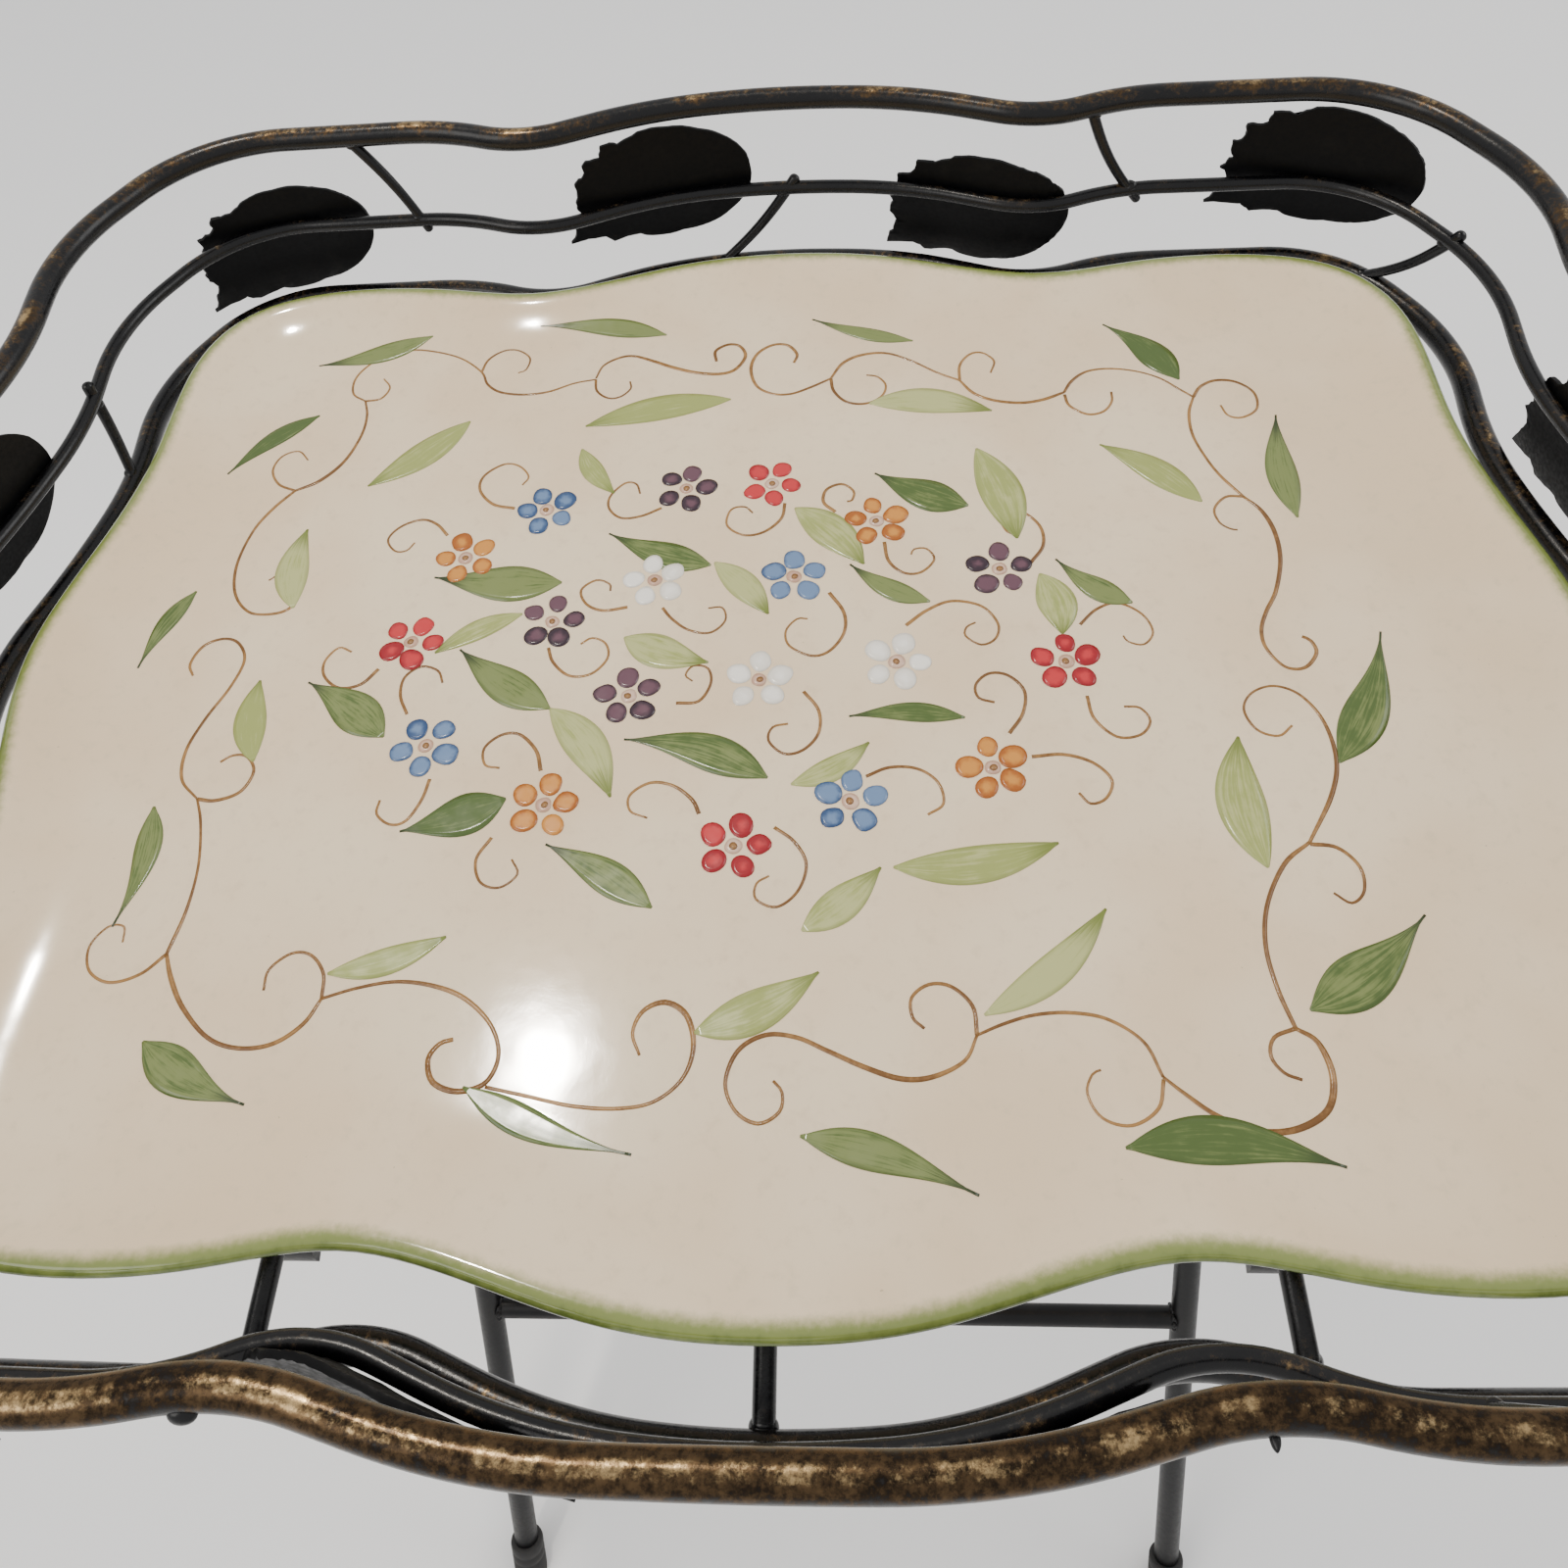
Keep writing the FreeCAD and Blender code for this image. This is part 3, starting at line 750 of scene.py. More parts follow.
# Border strands and curls, each a list of points on the rim's plane, (x, y).
STRANDS = [
    [(-137, 100), (-142, 104), (-142.5, 112), (-137, 120), (-127, 124), (-118, 123), (-108, 119),
     (-100, 112), (-97, 106), (-92, 102), (-84, 100.5), (-76, 101.5), (-68, 105), (-61, 106.5)],
    [(-61, 107), (-59, 113), (-54, 116.5), (-49, 117), (-42, 114), (-36, 111), (-28, 108), (-20, 107),
     (-15, 109), (-12, 115), (-14, 120), (-18, 121), (-22, 118), (-21.5, 113)],
    [(4, 111), (5, 115), (2, 119.5), (-3, 120), (-8, 116), (-10, 109), (-8, 101), (-3, 97), (3, 96.5),
     (9, 99), (16, 103)],
    [(16, 103), (20, 110), (26, 113.5), (34, 114), (42, 110), (50, 104), (57, 100)],
    [(57, 100), (61, 94), (67, 90.5), (75, 89), (82, 90), (89, 93)],
    [(89, 93), (92, 98), (97, 102), (104, 103), (112, 101.5), (119, 98), (124, 93), (128, 89)],
    [(128, 89), (125.5, 82), (125, 73), (127, 64), (130, 56), (135, 47.5)],
    [(135, 47.5), (139, 42), (141, 34), (140.5, 24), (137, 13), (133, 6), (130.5, 0), (130.5, -6),
     (134, -12), (139, -12.5), (143, -8), (142.5, -4), (140.5, -2.5)],
    [(132, -30), (128, -33), (123, -31), (121, -25), (124, -20), (130, -18), (136, -21), (140, -29),
     (140.5, -40), (137, -50), (129, -62.5)],
    [(129, -62.5), (122, -68), (116, -78), (113.5, -88), (114, -98), (116, -107)],
    [(116, -107), (120, -110), (121.5, -117), (119, -124), (112, -128), (104, -128.5), (96, -125.5),
     (90, -121), (86, -117.5)],
    [(86, -117.5), (83, -110), (76, -105), (68, -103.5), (60, -104), (53, -106), (47, -108.5)],
    [(47, -108.5), (44, -114), (37, -117.5), (30, -118), (22, -115.5), (14, -112), (7, -109),
     (0, -108.5), (-6, -112), (-8.5, -119), (-6, -125), (-1, -127.5), (3.5, -125), (4, -121),
     (2, -118.5)],
    [(-28, -113), (-30, -108), (-28, -103), (-23, -101), (-18, -104), (-16, -111), (-18, -118),
     (-24, -123), (-32, -124.5), (-42, -124), (-52, -122), (-62, -120)],
    [(-104, -100), (-96, -97.5), (-87, -96), (-78, -97), (-70, -100), (-63, -106), (-60, -113),
     (-62, -119), (-68, -121), (-74, -119), (-76, -114), (-74, -110.5), (-71, -109.5)],
    [(-104, -100), (-107, -106), (-113, -110.5), (-121, -111.5), (-129, -109), (-137, -102),
     (-142, -95), (-145, -89)],
    [(-145, -89), (-143.5, -78), (-144, -66), (-147, -54), (-150, -47)],
    [(-150, -47), (-156, -41), (-157.5, -32), (-155, -22), (-151, -12), (-149.5, -3), (-153, 3),
     (-158, 4.5), (-163, 2), (-165, -4), (-163, -8)],
    [(-150, 25.5), (-147, 27.5), (-142, 25), (-140, 20), (-141, 15), (-146, 13), (-153, 14), (-159, 21),
     (-161.5, 32), (-160, 45), (-156, 54), (-151, 61)],
    [(-151, 61), (-144, 65), (-138, 73), (-135, 84), (-135, 93), (-137, 100)],
]
CURLS = [
    [(-137, 100), (-132, 101), (-130, 106), (-133, 110.5)],
    [(-100, 112), (-98.5, 118), (-94, 122), (-89, 122), (-84.5, 118), (-85, 112.5), (-87.5, 111)],
    [(-61, 106.5), (-60, 101), (-56, 97.5), (-52, 98), (-49, 101.5), (-49.5, 105)],
    [(16, 103), (17, 97), (21, 92), (27, 91), (32, 94), (33.5, 99), (31, 103), (27.5, 104)],
    [(57, 100), (57.5, 107), (61, 112), (65, 112.5), (68.5, 108.5), (67, 103)],
    [(89, 92), (90, 87), (95, 83), (100, 84), (103, 88), (103.5, 92.5)],
    [(128, 89), (131, 93.5), (136, 96), (142, 95), (146.5, 90), (146, 83), (141, 79.5), (137, 80.5),
     (135.5, 85)],
    [(135, 47.5), (130, 47.5), (126, 43), (126.5, 38), (129, 35.5), (131, 35)],
    [(129, -63), (135, -64), (139, -69), (138.5, -75), (135, -78), (131.5, -75.5)],
    [(116, -107), (111, -109), (109.5, -113), (111.5, -116.5), (115, -118)],
    [(86, -118), (84, -124), (78, -127.5), (72, -126), (69.5, -121), (71, -117), (73, -116)],
    [(47, -108.5), (46.5, -102), (42, -97.5), (37, -97), (33, -100), (33, -104.5), (35.5, -107)],
    [(-104, -100), (-105, -94), (-109, -89.5), (-114, -89), (-118.5, -93), (-118.5, -98)],
    [(-145, -89), (-150, -94), (-157, -96), (-163, -93), (-165, -87), (-162, -82), (-158, -82),
     (-157, -86)],
    [(-150, -47), (-145, -47.5), (-139, -45), (-137, -39), (-140, -34.5), (-144, -34), (-147, -36)],
    [(-151, 61), (-157, 64), (-160.5, 70), (-159, 76), (-154, 78), (-150, 74)],
    [(-80, 51), (-87, 53), (-92, 59), (-91.5, 65), (-86, 69.5), (-81, 68.5), (-77.5, 64), (-79, 60.5)],
    [(-99, 41), (-103, 45.5), (-108, 47.5), (-114, 45), (-117, 40), (-114, 35.5), (-110.5, 35.5),
     (-108.5, 38.5)],
    [(-35, 49.5), (-41, 46.5), (-47, 46), (-51, 50), (-51, 55), (-47, 60), (-43.5, 59.5), (-42, 55.5)],
    [(2, 50), (1, 44), (-4, 39), (-10, 38), (-15, 42), (-14, 48), (-10, 49), (-7.5, 46.5)],
    [(17, 46), (13.5, 50), (14.5, 55), (19, 57), (22.5, 54), (22, 50.5), (20.5, 50)],
    [(31, 34), (32, 27), (36, 22.5), (41, 22.5), (45, 27), (43, 31), (39.5, 31), (38.5, 29)],
    [(72, 25), (76, 31), (76, 38), (72, 43.5), (67, 44.5), (65, 41), (66.5, 36.5), (69, 36)],
    [(15, 16), (19, 9), (19, 2), (15, -4), (10, -5.5), (4, -2), (3, 3), (6, 7), (9, 7)],
    [(36, 4), (42, 9), (49, 12), (57, 10), (61, 4), (60, -1), (56, -3), (52, 0), (52.5, 3), (55, 4.5)],
    [(83, 3), (88, 8), (94, 10), (100, 6), (102, 0), (99, -4), (95, -3), (94, -1)],
    [(82, -20), (83, -27), (88, -32.5), (94, -32), (97, -28), (95, -24), (91, -23.5)],
    [(61, -31), (65, -25), (66, -18), (62, -13), (57, -12.5), (53.5, -16), (54, -20), (58, -21.5)],
    [(66, -38), (74, -37.5), (81, -40), (85, -45), (83, -50), (79, -51.5), (76.5, -48.5)],
    [(24, -43), (30, -40.5), (37, -41), (42, -45), (43, -51), (39, -54)],
    [(1, -57), (6, -61), (9, -67), (7, -74), (2, -78), (-3, -76), (-3, -72), (0, -70)],
    [(-18, -53), (-20, -49), (-25, -45), (-31, -44), (-36, -47.5), (-35.5, -52), (-31, -54)],
    [(-60, -40), (-62, -34), (-67, -29), (-72, -29), (-76, -33), (-75, -38), (-71, -39)],
    [(-70, -59), (-73, -65), (-71, -71), (-66, -72.5), (-62, -69), (-64, -65)],
    [(-89, -42), (-90, -48), (-93, -54), (-97, -55), (-101, -52), (-101, -48)],
    [(-110, -7), (-114, -12), (-120, -13), (-125, -9), (-126, -4), (-123, 0.5), (-119, -1)],
    [(-99, -22), (-102, -16), (-102, -10), (-98, -6.5), (-93, -8), (-91, -12)],
    [(-63, -1), (-61, -6), (-56, -10.5), (-50, -10), (-46, -5), (-47, 0), (-51, 2), (-54, 0)],
    [(-42, 12.5), (-49, 11.5), (-54, 14), (-56, 19), (-52, 22.5), (-48, 21), (-47.5, 18.5)],
    [(-32, 12), (-29, 8), (-24, 4), (-18, 3), (-14, 7), (-15, 11.5), (-19, 11.5)],
    [(-26, -20), (-20, -19.5), (-17, -14), (-18, -9), (-22, -8), (-24, -11), (-22, -13)],
    [(8, -17), (12, -23), (12, -30), (8, -35), (3, -36), (-1, -32), (0, -28), (4, -27)],
]
# Leaves: (tip x, tip y, base x, base y, width).
OUTER_LEAVES = [
    (-157, 118, -120, 131, 9), (-175, 69, -151, 94, 7), (-83, 134, -39, 127, 9),
    (-180, -5, -171, 22, 6), (10, 132, 43, 119.5, 6), (105, 124, 125, 97, 11), (151, 80, 148.5, 39, 9),
    (161, -1.5, 141, -41, 11), (150.5, -81, 120, -103, 12), (120, -135.5, 76, -132, 10),
    (45, -141.5, 8, -130, 8), (-28, -134, -67, -120, 7), (-116, -124, -144, -110, 10),
    (-161, -82, -161, -49, 7)]
BOUQUET_LEAVES = [
    (-50, 40, -19, 27, 10), (-100, 25, -62, 22, 13), (29, 61, 56, 47, 12), (21, 26, 43, 12, 7),
    (79, 26, 98, 10, 8), (-88, -1, -60, -21, 11), (-129, -11, -104, -29, 12), (-94, -57, -68, -48, 12),
    (-56, -61, -28, -78, 9), (-39, -31, -1, -43, 11), (20, -25, 50, -26, 6)]
PALE_LEAVES = [
    (-128, 62, -100, 89, 11), (-62, 85, -16, 95, 11), (-143, 45, -140, 15, 10), (-50, 56, -62, 75, 7),
    (66, 86, 28, 91, 11), (97, 70, 123, 46, 10), (69, 34, 60, 70, 13), (25, 26, 5, 48, 12),
    (118, -33, 118, -69, 12), (79, -79, 49, -104, 8), (27, -68, 8, -84, 9), (70, -62, 30, -68, 10),
    (12, -94, -16, -108, 10), (25, -33, 5, -45, 7), (-77, -85, -104, -94, 7), (-41, -48, -60, -21, 11),
    (-18, -7, -42, 2, 11), (-95, -2, -72, 11, 7), (-143, -10, -138, -36, 9), (78, 0, 74, 21, 11),
    (-2, 9, -18, 28, 9)]
# Flowers: colour to (x, y, turn of the first petal in degrees).
FLOWERS = {
    "blue": [(-70, 50, 33), (5, 22, 20), (-92, -32, 50), (20, -50, 12)],
    "plum": [(-28, 57, 0), (63, 23, 15), (-63, 8, 8), (-39, -17.5, 28)],
    "red": [(-2, 58, -8), (-102.5, 2, -6), (78, -9, 20), (-9, -62, 2)],
    "ochre": [(-92, 32, 40), (29, 42, 25), (-58, -50, 10), (56, -41, 30)],
    "white": [(-35, 22, 30), (-4, -13, 15), (33, -8, 0)],
}


def paint_lines():
    rng = random.Random(11)
    lines = Paint(0.06)
    for points in STRANDS:
        spine = through(points)
        count = len(spine)
        weights = [0.5 + 0.35 * noise.noise(Vector((point.x * 0.03, point.y * 0.03, 4.2)))
                   for point in spine]
        ends = [min(1.0, 0.45 + 4 * min(index, count - 1 - index) / count) for index in range(count)]
        halves = [weight * (0.55 + 0.45 * end) for weight, end in zip(weights, ends)]
        lines.ribbon(spine, halves, 2, rng.uniform(-1, 1))
    for points in CURLS:
        spine = through(points)
        start, end = rng.uniform(0.42, 0.55), rng.uniform(0.22, 0.34)
        halves = [start + (end - start) * index / (len(spine) - 1) for index in range(len(spine))]
        lines.ribbon(spine, halves, 2, rng.uniform(-1, 1))
    lines.done("painted_vines", VINE_PAINT)


def paint_leaves(name, leaves, paint, lift, seed, heaviest, fullness):
    """Leaves of one brush stroke; heaviest sets how far from the tip the stroke is widest."""
    rng = random.Random(seed)
    group = Paint(lift)
    for tip_x, tip_y, base_x, base_y, width in leaves:
        tip, base = Vector((tip_x, tip_y)), Vector((base_x, base_y))
        run = base - tip
        across = Vector((-run.y, run.x)).normalized()
        bow = rng.choice((-1, 1)) * rng.uniform(0.03, 0.08) * run.length
        lean = heaviest + rng.uniform(-0.15, 0.15)
        count = max(12, round(run.length / 1.5))
        spine, halves = [], []
        for index in range(count + 1):
            t = index / count
            spine.append(tip + run * t + across * (bow * math.sin(math.pi * t)))
            swell = math.sin(math.pi * t ** lean) ** fullness if 0 < index < count else 0.0
            halves.append(max(0.28, width / 2 * swell))
        group.ribbon(spine, halves, 7, rng.uniform(-1, 1))
    return group.done(name, paint)


PETALS, PETAL_PLACE, PETAL_SIZE, HEART_SIZE, DOT_SIZE = 5, 6.2, 2.95, 2.1, 0.95


def paint_flowers():
    rng = random.Random(5)
    hearts, dots = Paint(0.15), Paint(0.2)
    for colour, flowers in FLOWERS.items():
        petals = Paint(0.16)
        for x, y, turn in flowers:
            for index in range(PETALS):
                angle = math.radians(turn + 360 / PETALS * index + rng.uniform(-5, 5))
                away = PETAL_PLACE + rng.uniform(-0.4, 0.4)
                place = (x + away * math.cos(angle), y + away * math.sin(angle))
                petals.disc(place, PETAL_SIZE + rng.uniform(-0.2, 0.25), 1.12,
                            angle + rng.uniform(-0.5, 0.5), rng.uniform(-1, 1), rng)
            hearts.disc((x, y), HEART_SIZE, 1.05, rng.uniform(0, 3), rng.uniform(-1, 1), rng, 2)
            dots.disc((x + rng.uniform(-0.3, 0.3), y), DOT_SIZE, 1.1, rng.uniform(0, 3), 0, rng, 1, 10)
        petals.done(f"painted_petals_{colour}", PETAL_PAINT[colour])
    hearts.done("painted_flower_hearts", HEART_PAINT)
    dots.done("painted_flower_dots", DOT_PAINT)


paint_lines()
paint_leaves("painted_leaves_pale", PALE_LEAVES, LIGHT_LEAF, 0.08, 2, 1.15, 0.8)
paint_leaves("painted_leaves_outer", OUTER_LEAVES, DARK_LEAF, 0.11, 3, 1.5, 0.95)
paint_leaves("painted_leaves_bouquet", BOUQUET_LEAVES, DARK_LEAF, 0.11, 4, 1.45, 0.9)
paint_flowers()

# ---------------------------------------------------------------- rack


def front_rub(point):
    """The paint is rubbed through most along the front."""
    return 0.35 + 0.65 * max(0.0, -point.y / 190)


def swelling(radius):
    """A bar's radius, a little uneven along its length as forging leaves it."""
    def radius_at(share):
        turn = 2 * math.pi * share
        return radius * (0.985 + 0.015 * math.sin(23 * turn) * math.cos(7 * turn))
    return radius_at


for rail, path, radius, paint, rub in (
        ("top_rail", TOP_RAIL, RAIL_RADIUS, RAIL_IRON, front_rub),
        ("vine_rail", VINE_RAIL, VINE_RADIUS, THIN_IRON, lambda point: 0.1),
        ("lower_ring", LOWER_RING, RAIL_RADIUS, THIN_IRON, lambda point: 0.25)):
    bar = tube(f"{rail}_bar", path, swelling(radius), 20, True, rub)
    finish(bar, paint, "rack", "rack_iron", rail)

# The rods end on the ring's inner side.
INNER_SIDE = rail_path(RING_OUTSET - RAIL_RADIUS, RING_HEIGHT)
ROD_SPACING = 110
for place, across in (("left", -ROD_SPACING), ("centre", 0), ("right", ROD_SPACING)):
    reach = min(point.y for point in INNER_SIDE if abs(point.x - across) < 3 and point.y > 0) - 0.5
    ends = [Vector((across, y, RING_HEIGHT)) for y in (-reach, reach)]
    rod = straight_bar(f"cross_rod_{place}_bar", *ends, ROD_RADIUS, 16, 0.6)
    beads = [blob("bead", Vector((across, sign * reach, RING_HEIGHT - 0.3)), 2.9, (1.2, 0.9, 0.85),
                  across + sign) for sign in (-1, 1)]
    finish(joined(rod.name, [rod] + beads), THIN_IRON, "rack", "rack_iron", f"cross_rod_{place}")

TURNED_NAME = {"back": "front", "front": "back", "left": "right", "right": "left"}


def turned(name):
    """The name of the piece half way round the rack."""
    return "_".join(TURNED_NAME.get(word, word) for word in name.split("_"))


# Twigs: (name, upper rail, its place, lower rail, its place, bow, how far the lower end runs on).
TWIGS = [
    ("upper_twig_back_left", TOP_RAIL, (-152, 212), VINE_RAIL, (-132, 205), 1.6, 4),
    ("upper_twig_back_right", TOP_RAIL, (97, 205), VINE_RAIL, (119, 205), -2.2, 4.5),
    ("upper_twig_right", TOP_RAIL, (265, 40), VINE_RAIL, (262, 22), 1.8, 4),
    ("lower_twig_back", VINE_RAIL, (1, 212), LOWER_RING, (-28, 205), 1.8, 0),
    ("lower_twig_corner_right", VINE_RAIL, (232, 152), LOWER_RING, (214, 178), 2.6, 0),
    ("lower_twig_left", VINE_RAIL, (-245, 92), LOWER_RING, (-245, 84), 1.2, 0),
]


def make_twig(name, upper, upper_beyond, lower, lower_beyond, bow, run_on):
    """A slightly bowed twig, thinner at its foot, with a bead at each weld."""
    top, outside = rail_spot(upper, upper_beyond)
    bottom = rail_spot(lower, lower_beyond)[0]
    run = (bottom - top).normalized()
    start = top - run * (0 if upper is TOP_RAIL else 4.5)
    end = bottom + run * run_on
    sideways = run.cross(outside).normalized()
    count = 14
    path = [start.lerp(end, index / count) + sideways * (bow * math.sin(math.pi * index / count))
            for index in range(count + 1)]
    bar = tube(f"{name}_bar", path, lambda share: 2.0 - 0.35 * share, 14, dome=0.8)
    beads = [blob("bead", place + lean, 2.3, (1.15, 1.15, 0.9), place.x * 0.13)
             for place, lean in ((top, run * 3.4 if upper is TOP_RAIL else run * 1.8),
                                 (bottom, run * -3.2 if lower is LOWER_RING else run * -1.4))]
    finish(joined(f"{name}_bar", [bar] + beads), THIN_IRON, "rack", "rack_iron", name)


for name, upper, upper_beyond, lower, lower_beyond, bow, run_on in TWIGS:
    make_twig(name, upper, upper_beyond, lower, lower_beyond, bow, run_on)
    opposite = [tuple(-c for c in place) for place in (upper_beyond, lower_beyond)]
    make_twig(turned(name), upper, opposite[0], lower, opposite[1], bow, run_on)

LEAF_EDGE = [
    (-35, -19), (-24, -18), (-20, -21), (-10, -20), (-4, -22), (6, -21), (16, -19), (24, -14), (30, -6),
    (32, 2), (30, 10), (24, 16), (14, 20), (2, 22), (-8, 21), (-14, 18.5), (-21, 18.5), (-22, 14),
    (-28, 13), (-28, 8), (-32, 6), (-30.5, 1), (-32.5, -3), (-30, -8), (-32.5, -13)]
# Leaves: (name, place on the vine rail, lift over it, tilt in degrees, stand-off where the rail bends).
LEAVES = [
    ("leaf_back_far_left", (-192, 208), -8, 4, 0),
    ("leaf_back_near_left", (-48, 212), 4, -3, 0),
    ("leaf_back_near_right", (75, 200), -8, 3, 7),
    ("leaf_back_far_right", (194, 208), 4, -3, 0),
    ("leaf_right_back", (262, 56), -8, 3, 1.2),
    ("leaf_right_front", (262, -42), 4, -3, 1),
]


def cut_edge(rng):
    """The leaf's edge: rounded at the right, small steps and teeth at the left."""
    edge = []
    for (x, y), (next_x, next_y) in zip(LEAF_EDGE, LEAF_EDGE[1:] + LEAF_EDGE[:1]):
        toothed = min(x, next_x) < -12
        edge.append((x + (rng.uniform(-1.0, 1.0) if toothed else 0),
                     y + (rng.uniform(-0.6, 0.6) if toothed else 0)))
        count = 4
        for index in range(1, count):
            share = index / count
            jag = rng.uniform(-0.3, 0.3) if toothed else 0.0
            length = math.hypot(next_x - x, next_y - y)
            swell = 0 if toothed else 0.055 * length * math.sin(math.pi * share)
            nx, ny = (next_y - y) / length, -(next_x - x) / length
            edge.append((x + (next_x - x) * share + nx * (jag + swell),
                         y + (next_y - y) * share + ny * (jag + swell)))
    return edge


def make_leaf(name, beyond, lift, tilt, stand_off):
    """A sheet-iron leaf creased along the rail it is welded to, bent a little with it."""
    rng = random.Random(name)
    spot, outside = rail_spot(VINE_RAIL, beyond)
    sideways = UP.cross(-outside)
    near = [((point - spot).dot(sideways), (point - spot).dot(outside)) for point in VINE_RAIL
            if (point - spot).length < 44]
    proudest = max(0.0, *(bulge for along, bulge in near if abs(along) < 33))
    follow = 0.8 if stand_off > 3 else 0.45

    def rail_bulge(along):
        return min(near, key=lambda pair: abs(pair[0] - along))[1]

    edit = bmesh.new()
    edit.faces.new([edit.verts.new((x, y, 0)) for x, y in cut_edge(rng)])
    for axis, cuts in (((1, 0, 0), range(-30, 31, 3)), ((0, 1, 0), range(-21, 22, 3))):
        for cut in cuts:
            bmesh.ops.bisect_plane(edit, geom=edit.verts[:] + edit.edges[:] + edit.faces[:],
                                   plane_co=Vector(axis) * (cut + 0.01), plane_no=axis)
    lean = math.radians(tilt)
    shift = Vector((spot.x, spot.y, 0)) * 0.05
    for vertex in edit.verts:
        x, y, _ = vertex.co
        along = x * math.cos(lean) - y * math.sin(lean)
        height = x * math.sin(lean) + y * math.cos(lean) + lift
        flare = 0.12 * math.sqrt(height ** 2 + 4) - 0.24
        vein = 0.22 * abs(math.sin((x * 0.9 + abs(y) * 0.8) * 0.32))
        wave = 0.7 * noise.noise(Vector((x * 0.05, y * 0.07, 0)) + shift)
        # Edges that leave the rail's line may stand a little off it, never into it.
        curve = follow * (rail_bulge(along) - proudest)
        away = 2.2 + stand_off + curve + flare + vein + max(0, wave)
        vertex.co = (spot + outside * away + sideways * along + UP * height) * MM
    mesh = bpy.data.meshes.new(name)
    edit.to_mesh(mesh)
    edit.free()
    leaf = add_object(f"{name}_sheet", mesh)
    thick = leaf.modifiers.new("thick", "SOLIDIFY")
    thick.thickness = 1.5 * MM
    thick.offset = -1
    soften(leaf, 0.25, 50)
    apply_modifiers(leaf)
    leaf.data.polygons.foreach_set("use_smooth", [True] * len(leaf.data.polygons))
    smooth_by_angle(leaf)
    finish(leaf, SHEET_IRON, "rack", "leaf_iron", name)


for name, beyond, *setting in LEAVES:
    make_leaf(name, beyond, *setting)
    make_leaf(turned(name), tuple(-c for c in beyond), *setting)

# ---------------------------------------------------------------- legs

PIVOT = Vector((0, 0, 310))
BAR_HEIGHT = 558.7
STRETCHER_HEIGHT = 160
LEG_FOOT_HEIGHT = 7
LEG_RADIUS, CROSSBAR_RADIUS = 6, 5
# Each frame: (name, how far its top bar stands from the middle, half its width, the way it leans).
FRAMES = (("outer", 145, 165, 1), ("inner", 143, 150, -1))


WELD_BEADS = 10


def make_leg_frame(name, reach, half_width, lean):
    """One of the two crossing frames, its bars welded between round legs."""
    top = Vector((0, lean * reach, BAR_HEIGHT))
    upward = (top - PIVOT).normalized()
    body = f"{name}_frame"

    def at_height(height):
        return top + upward * ((height - top.z) / upward.z)

    foot = at_height(LEG_FOOT_HEIGHT) - RIGHT * half_width
    leg = straight_bar(f"{name}_leg_left_bar", foot, top - RIGHT * half_width, LEG_RADIUS, 28, 1.0)
    cap = make_foot_cap(f"{name}_foot_cap_left_rubber", foot, upward)
    across = RIGHT * (2 * half_width)
    for side, bar, rubber_cap in (
            ("right", twin_of(leg, f"{name}_leg_right_bar", across),
             twin_of(cap, f"{name}_foot_cap_right_rubber", across)),
            ("left", leg, cap)):
        finish(bar, LEG_IRON, body, "leg_iron", f"{name}_leg_{side}")
        finish(rubber_cap, RUBBER, body, "rubber", f"{name}_foot_cap_{side}")
    for part, centre in (("top_bar", top), ("stretcher", at_height(STRETCHER_HEIGHT))):
        ends = [centre + RIGHT * (sign * (half_width - 4)) for sign in (-1, 1)]
        bar = straight_bar(f"{name}_{part}_bar", *ends, CROSSBAR_RADIUS, 24, 0.2)
        beads = []
        for sign in (-1, 1):
            at = centre + RIGHT * (sign * (half_width - 5.4))
            for index in range(WELD_BEADS):
                angle = 2 * math.pi * index / WELD_BEADS
                around = Vector((0, math.cos(angle), math.sin(angle))) * 4.6
                beads.append(blob("bead", at + around, 1.5, (0.9, 1.2, 1.2), index + sign * half_width))
        finish(joined(f"{name}_{part}_bar", [bar] + beads), LEG_IRON, body, "leg_iron", f"{name}_{part}")


def make_foot_cap(name, leg_end, upward):
    """A ribbed rubber cap over the leg's end, worn flat on the floor."""
    profile = [(-20, 8.4), (2, 8.4), (3, 8.0), (4, 7.9), (5, 8.4), (7.5, 8.4), (8.5, 8.0), (9.5, 7.9),
               (10.5, 8.4), (13.4, 8.4), (14.6, 8.1), (15.1, 7.4), (15.2, 6.2)]
    cap = turned_bar(name, profile, leg_end, upward, 36)
    edit_all(cap)
    bpy.ops.mesh.bisect(plane_co=(0, 0, 0.02 * MM), plane_no=(0, 0, 1), use_fill=True, clear_inner=True)
    close_edit()
    smooth_by_angle(cap)
    return cap


for settings in FRAMES:
    make_leg_frame(*settings)

(_, _, OUTER_HALF, _), (_, _, INNER_HALF, _) = FRAMES
RIVET_FROM, RIVET_TO = INNER_HALF - LEG_RADIUS, OUTER_HALF + LEG_RADIUS
RIVET_HEAD = [(2.45, 0.5), (2.35, 1.6), (2.0, 3.4), (1.4, 4.9), (0.7, 6.0), (0.15, 6.45), (0, 6.4)]
rivet = turned_bar("pivot_rivet_right_domed",
                   [(RIVET_FROM - along, radius) for along, radius in RIVET_HEAD]
                   + [(RIVET_FROM, 2.9), (RIVET_TO, 2.9)]
                   + [(RIVET_TO + along, radius) for along, radius in RIVET_HEAD[::-1]],
                   PIVOT, RIGHT, 36, 0.3)
for side, piece in (("left", twin_of(rivet, "pivot_rivet_left_domed", turn=math.pi)), ("right", rivet)):
    finish(piece, LEG_IRON, "outer_frame", "leg_iron", f"pivot_rivet_{side}")

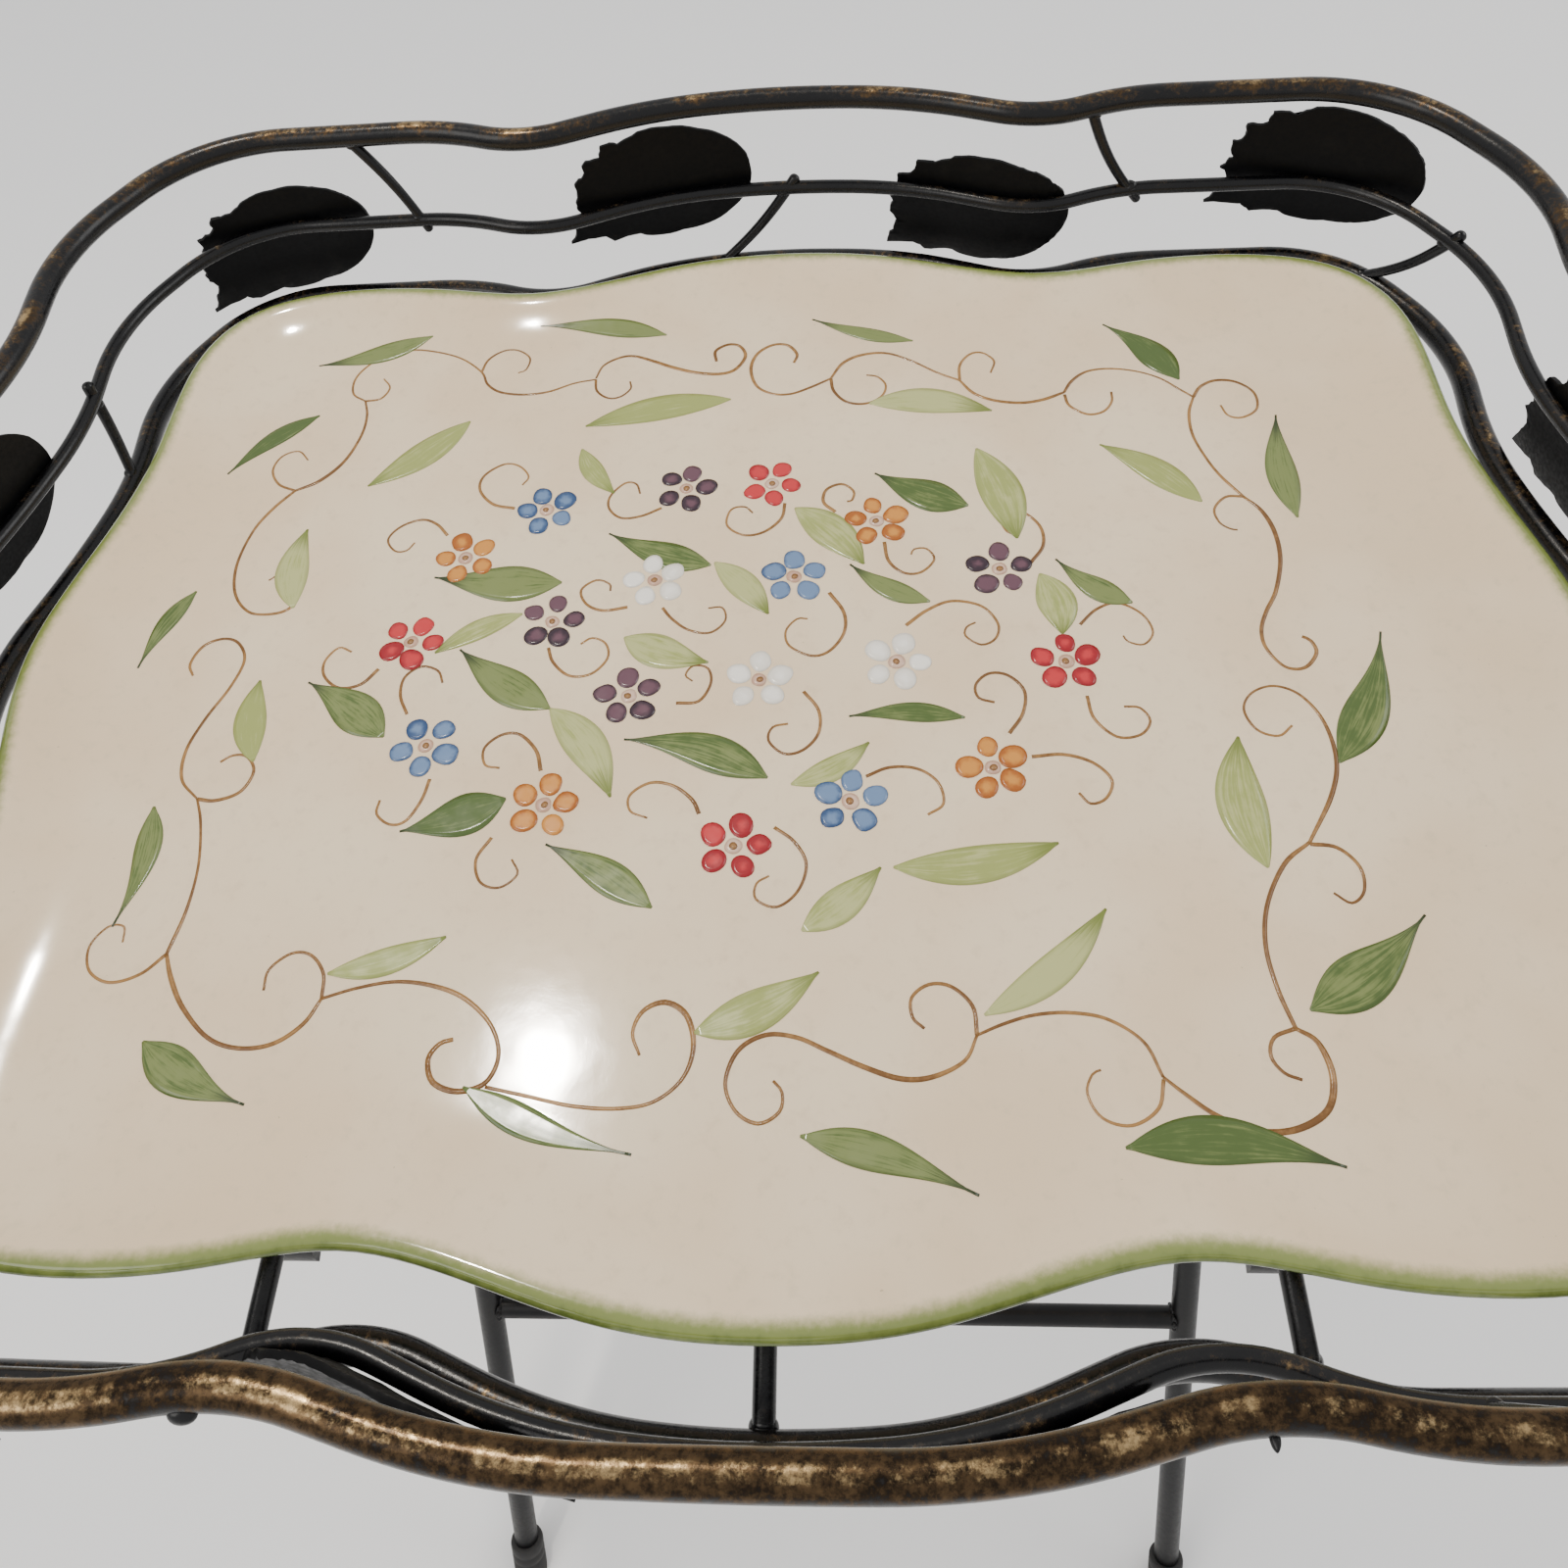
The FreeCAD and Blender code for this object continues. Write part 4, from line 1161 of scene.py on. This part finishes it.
# What keeps its CAD shape gets worn edges: the washers, the eyes and the hooks.
for kept in [f"{part}_{side}" for part in ("pivot_spacer", "hinge_eye", "rack_hook")
             for side in ("left", "right")]:
    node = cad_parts[kept]
    node.data.materials.clear()
    node.data.materials.append(LEG_IRON)
    soften(node, 0.4, 40)

beads = []
for across in (-ROD_SPACING, ROD_SPACING):
    for y in (145, -143):
        for sign in (-1, 1):
            place = Vector((across + sign * 2.6, y, 567.4))
            beads.append(blob("bead", place, 2.2, (0.8, 1.9, 0.8), across * 0.1 + y + sign))
finish(joined("eye_and_hook_welds", beads), LEG_IRON, "rack", "leg_iron")

# A weld nub and a short spur left under the front of the top rail.
beads = []
for across, radius, squash in ((-94, 2.3, (1.3, 0.9, 0.9)), (86, 1.3, (0.8, 1.9, 0.7))):
    spot = min((point for point in TOP_RAIL if point.y < 0), key=lambda point: abs(point.x - across))
    beads.append(blob("bead", spot - Vector((0, 3.6, 1.0)), radius, squash, across))
finish(joined("top_rail_welds", beads), RAIL_IRON, "rack", "rack_iron")

# ---------------------------------------------------------------- stage, light and camera

bpy.ops.mesh.primitive_plane_add(size=8)
floor = bpy.context.object
floor.name = "floor"
floor.data.materials.append(PALE_FLOOR)
floor.select_set(False)


def area_light(name, place, target, size, power, colour=(1, 1, 1)):
    """A soft round light; places and size in metres."""
    light = bpy.data.lights.new(name, "AREA")
    light.shape = "DISK"
    light.size = size
    light.energy = power
    light.color = colour
    holder = bpy.data.objects.new(name, light)
    scene.collection.objects.link(holder)
    holder.location = place
    holder.rotation_euler = (Vector(place) - Vector(target)).to_track_quat("Z", "Y").to_euler()


HOT_SPOT = Vector((-0.050, -0.116, 0.582))
area_light("key", HOT_SPOT + Vector((-0.225, 0.319, 0.92)) * 1.5, HOT_SPOT, 0.07, 9, (1.0, 0.93, 0.83))
area_light("fill", (-1.6, -1.2, 2.2), (0, 0, 0.5), 1.6, 20, (1.0, 0.97, 0.93))
area_light("side", (1.9, 0.6, 1.8), (0, 0, 0.5), 1.4, 14)

world = bpy.data.worlds.new("pale")
world.use_nodes = True
world.node_tree.nodes["Background"].inputs["Color"].default_value = (0.92, 0.92, 0.92, 1)
world.node_tree.nodes["Background"].inputs["Strength"].default_value = 0.95
scene.world = world

camera = bpy.data.cameras.new("camera")
holder = bpy.data.objects.new("camera", camera)
scene.collection.objects.link(holder)
CAMERA_PLACE = Vector((0.0244, -0.2215, 0.5903 + 0.3039))
pitch, yaw, roll = (math.radians(angle) for angle in (49.91, 6.61, -6.60))
forward = Vector((-math.sin(yaw) * math.cos(pitch), math.cos(yaw) * math.cos(pitch), -math.sin(pitch)))
level = Vector((math.cos(yaw), math.sin(yaw), 0))
raised = level.cross(forward)
right = level * math.cos(roll) + raised * math.sin(roll)
upright = raised * math.cos(roll) - level * math.sin(roll)
stance = Matrix((right, upright, -forward)).transposed().to_4x4()
stance.translation = CAMERA_PLACE
holder.matrix_world = stance
camera.sensor_width = 36
camera.lens = 31.27
camera.shift_x = 0.0153
camera.shift_y = -0.155
camera.clip_start = 0.01
scene.camera = holder

bpy.data.objects.remove(BEAD)
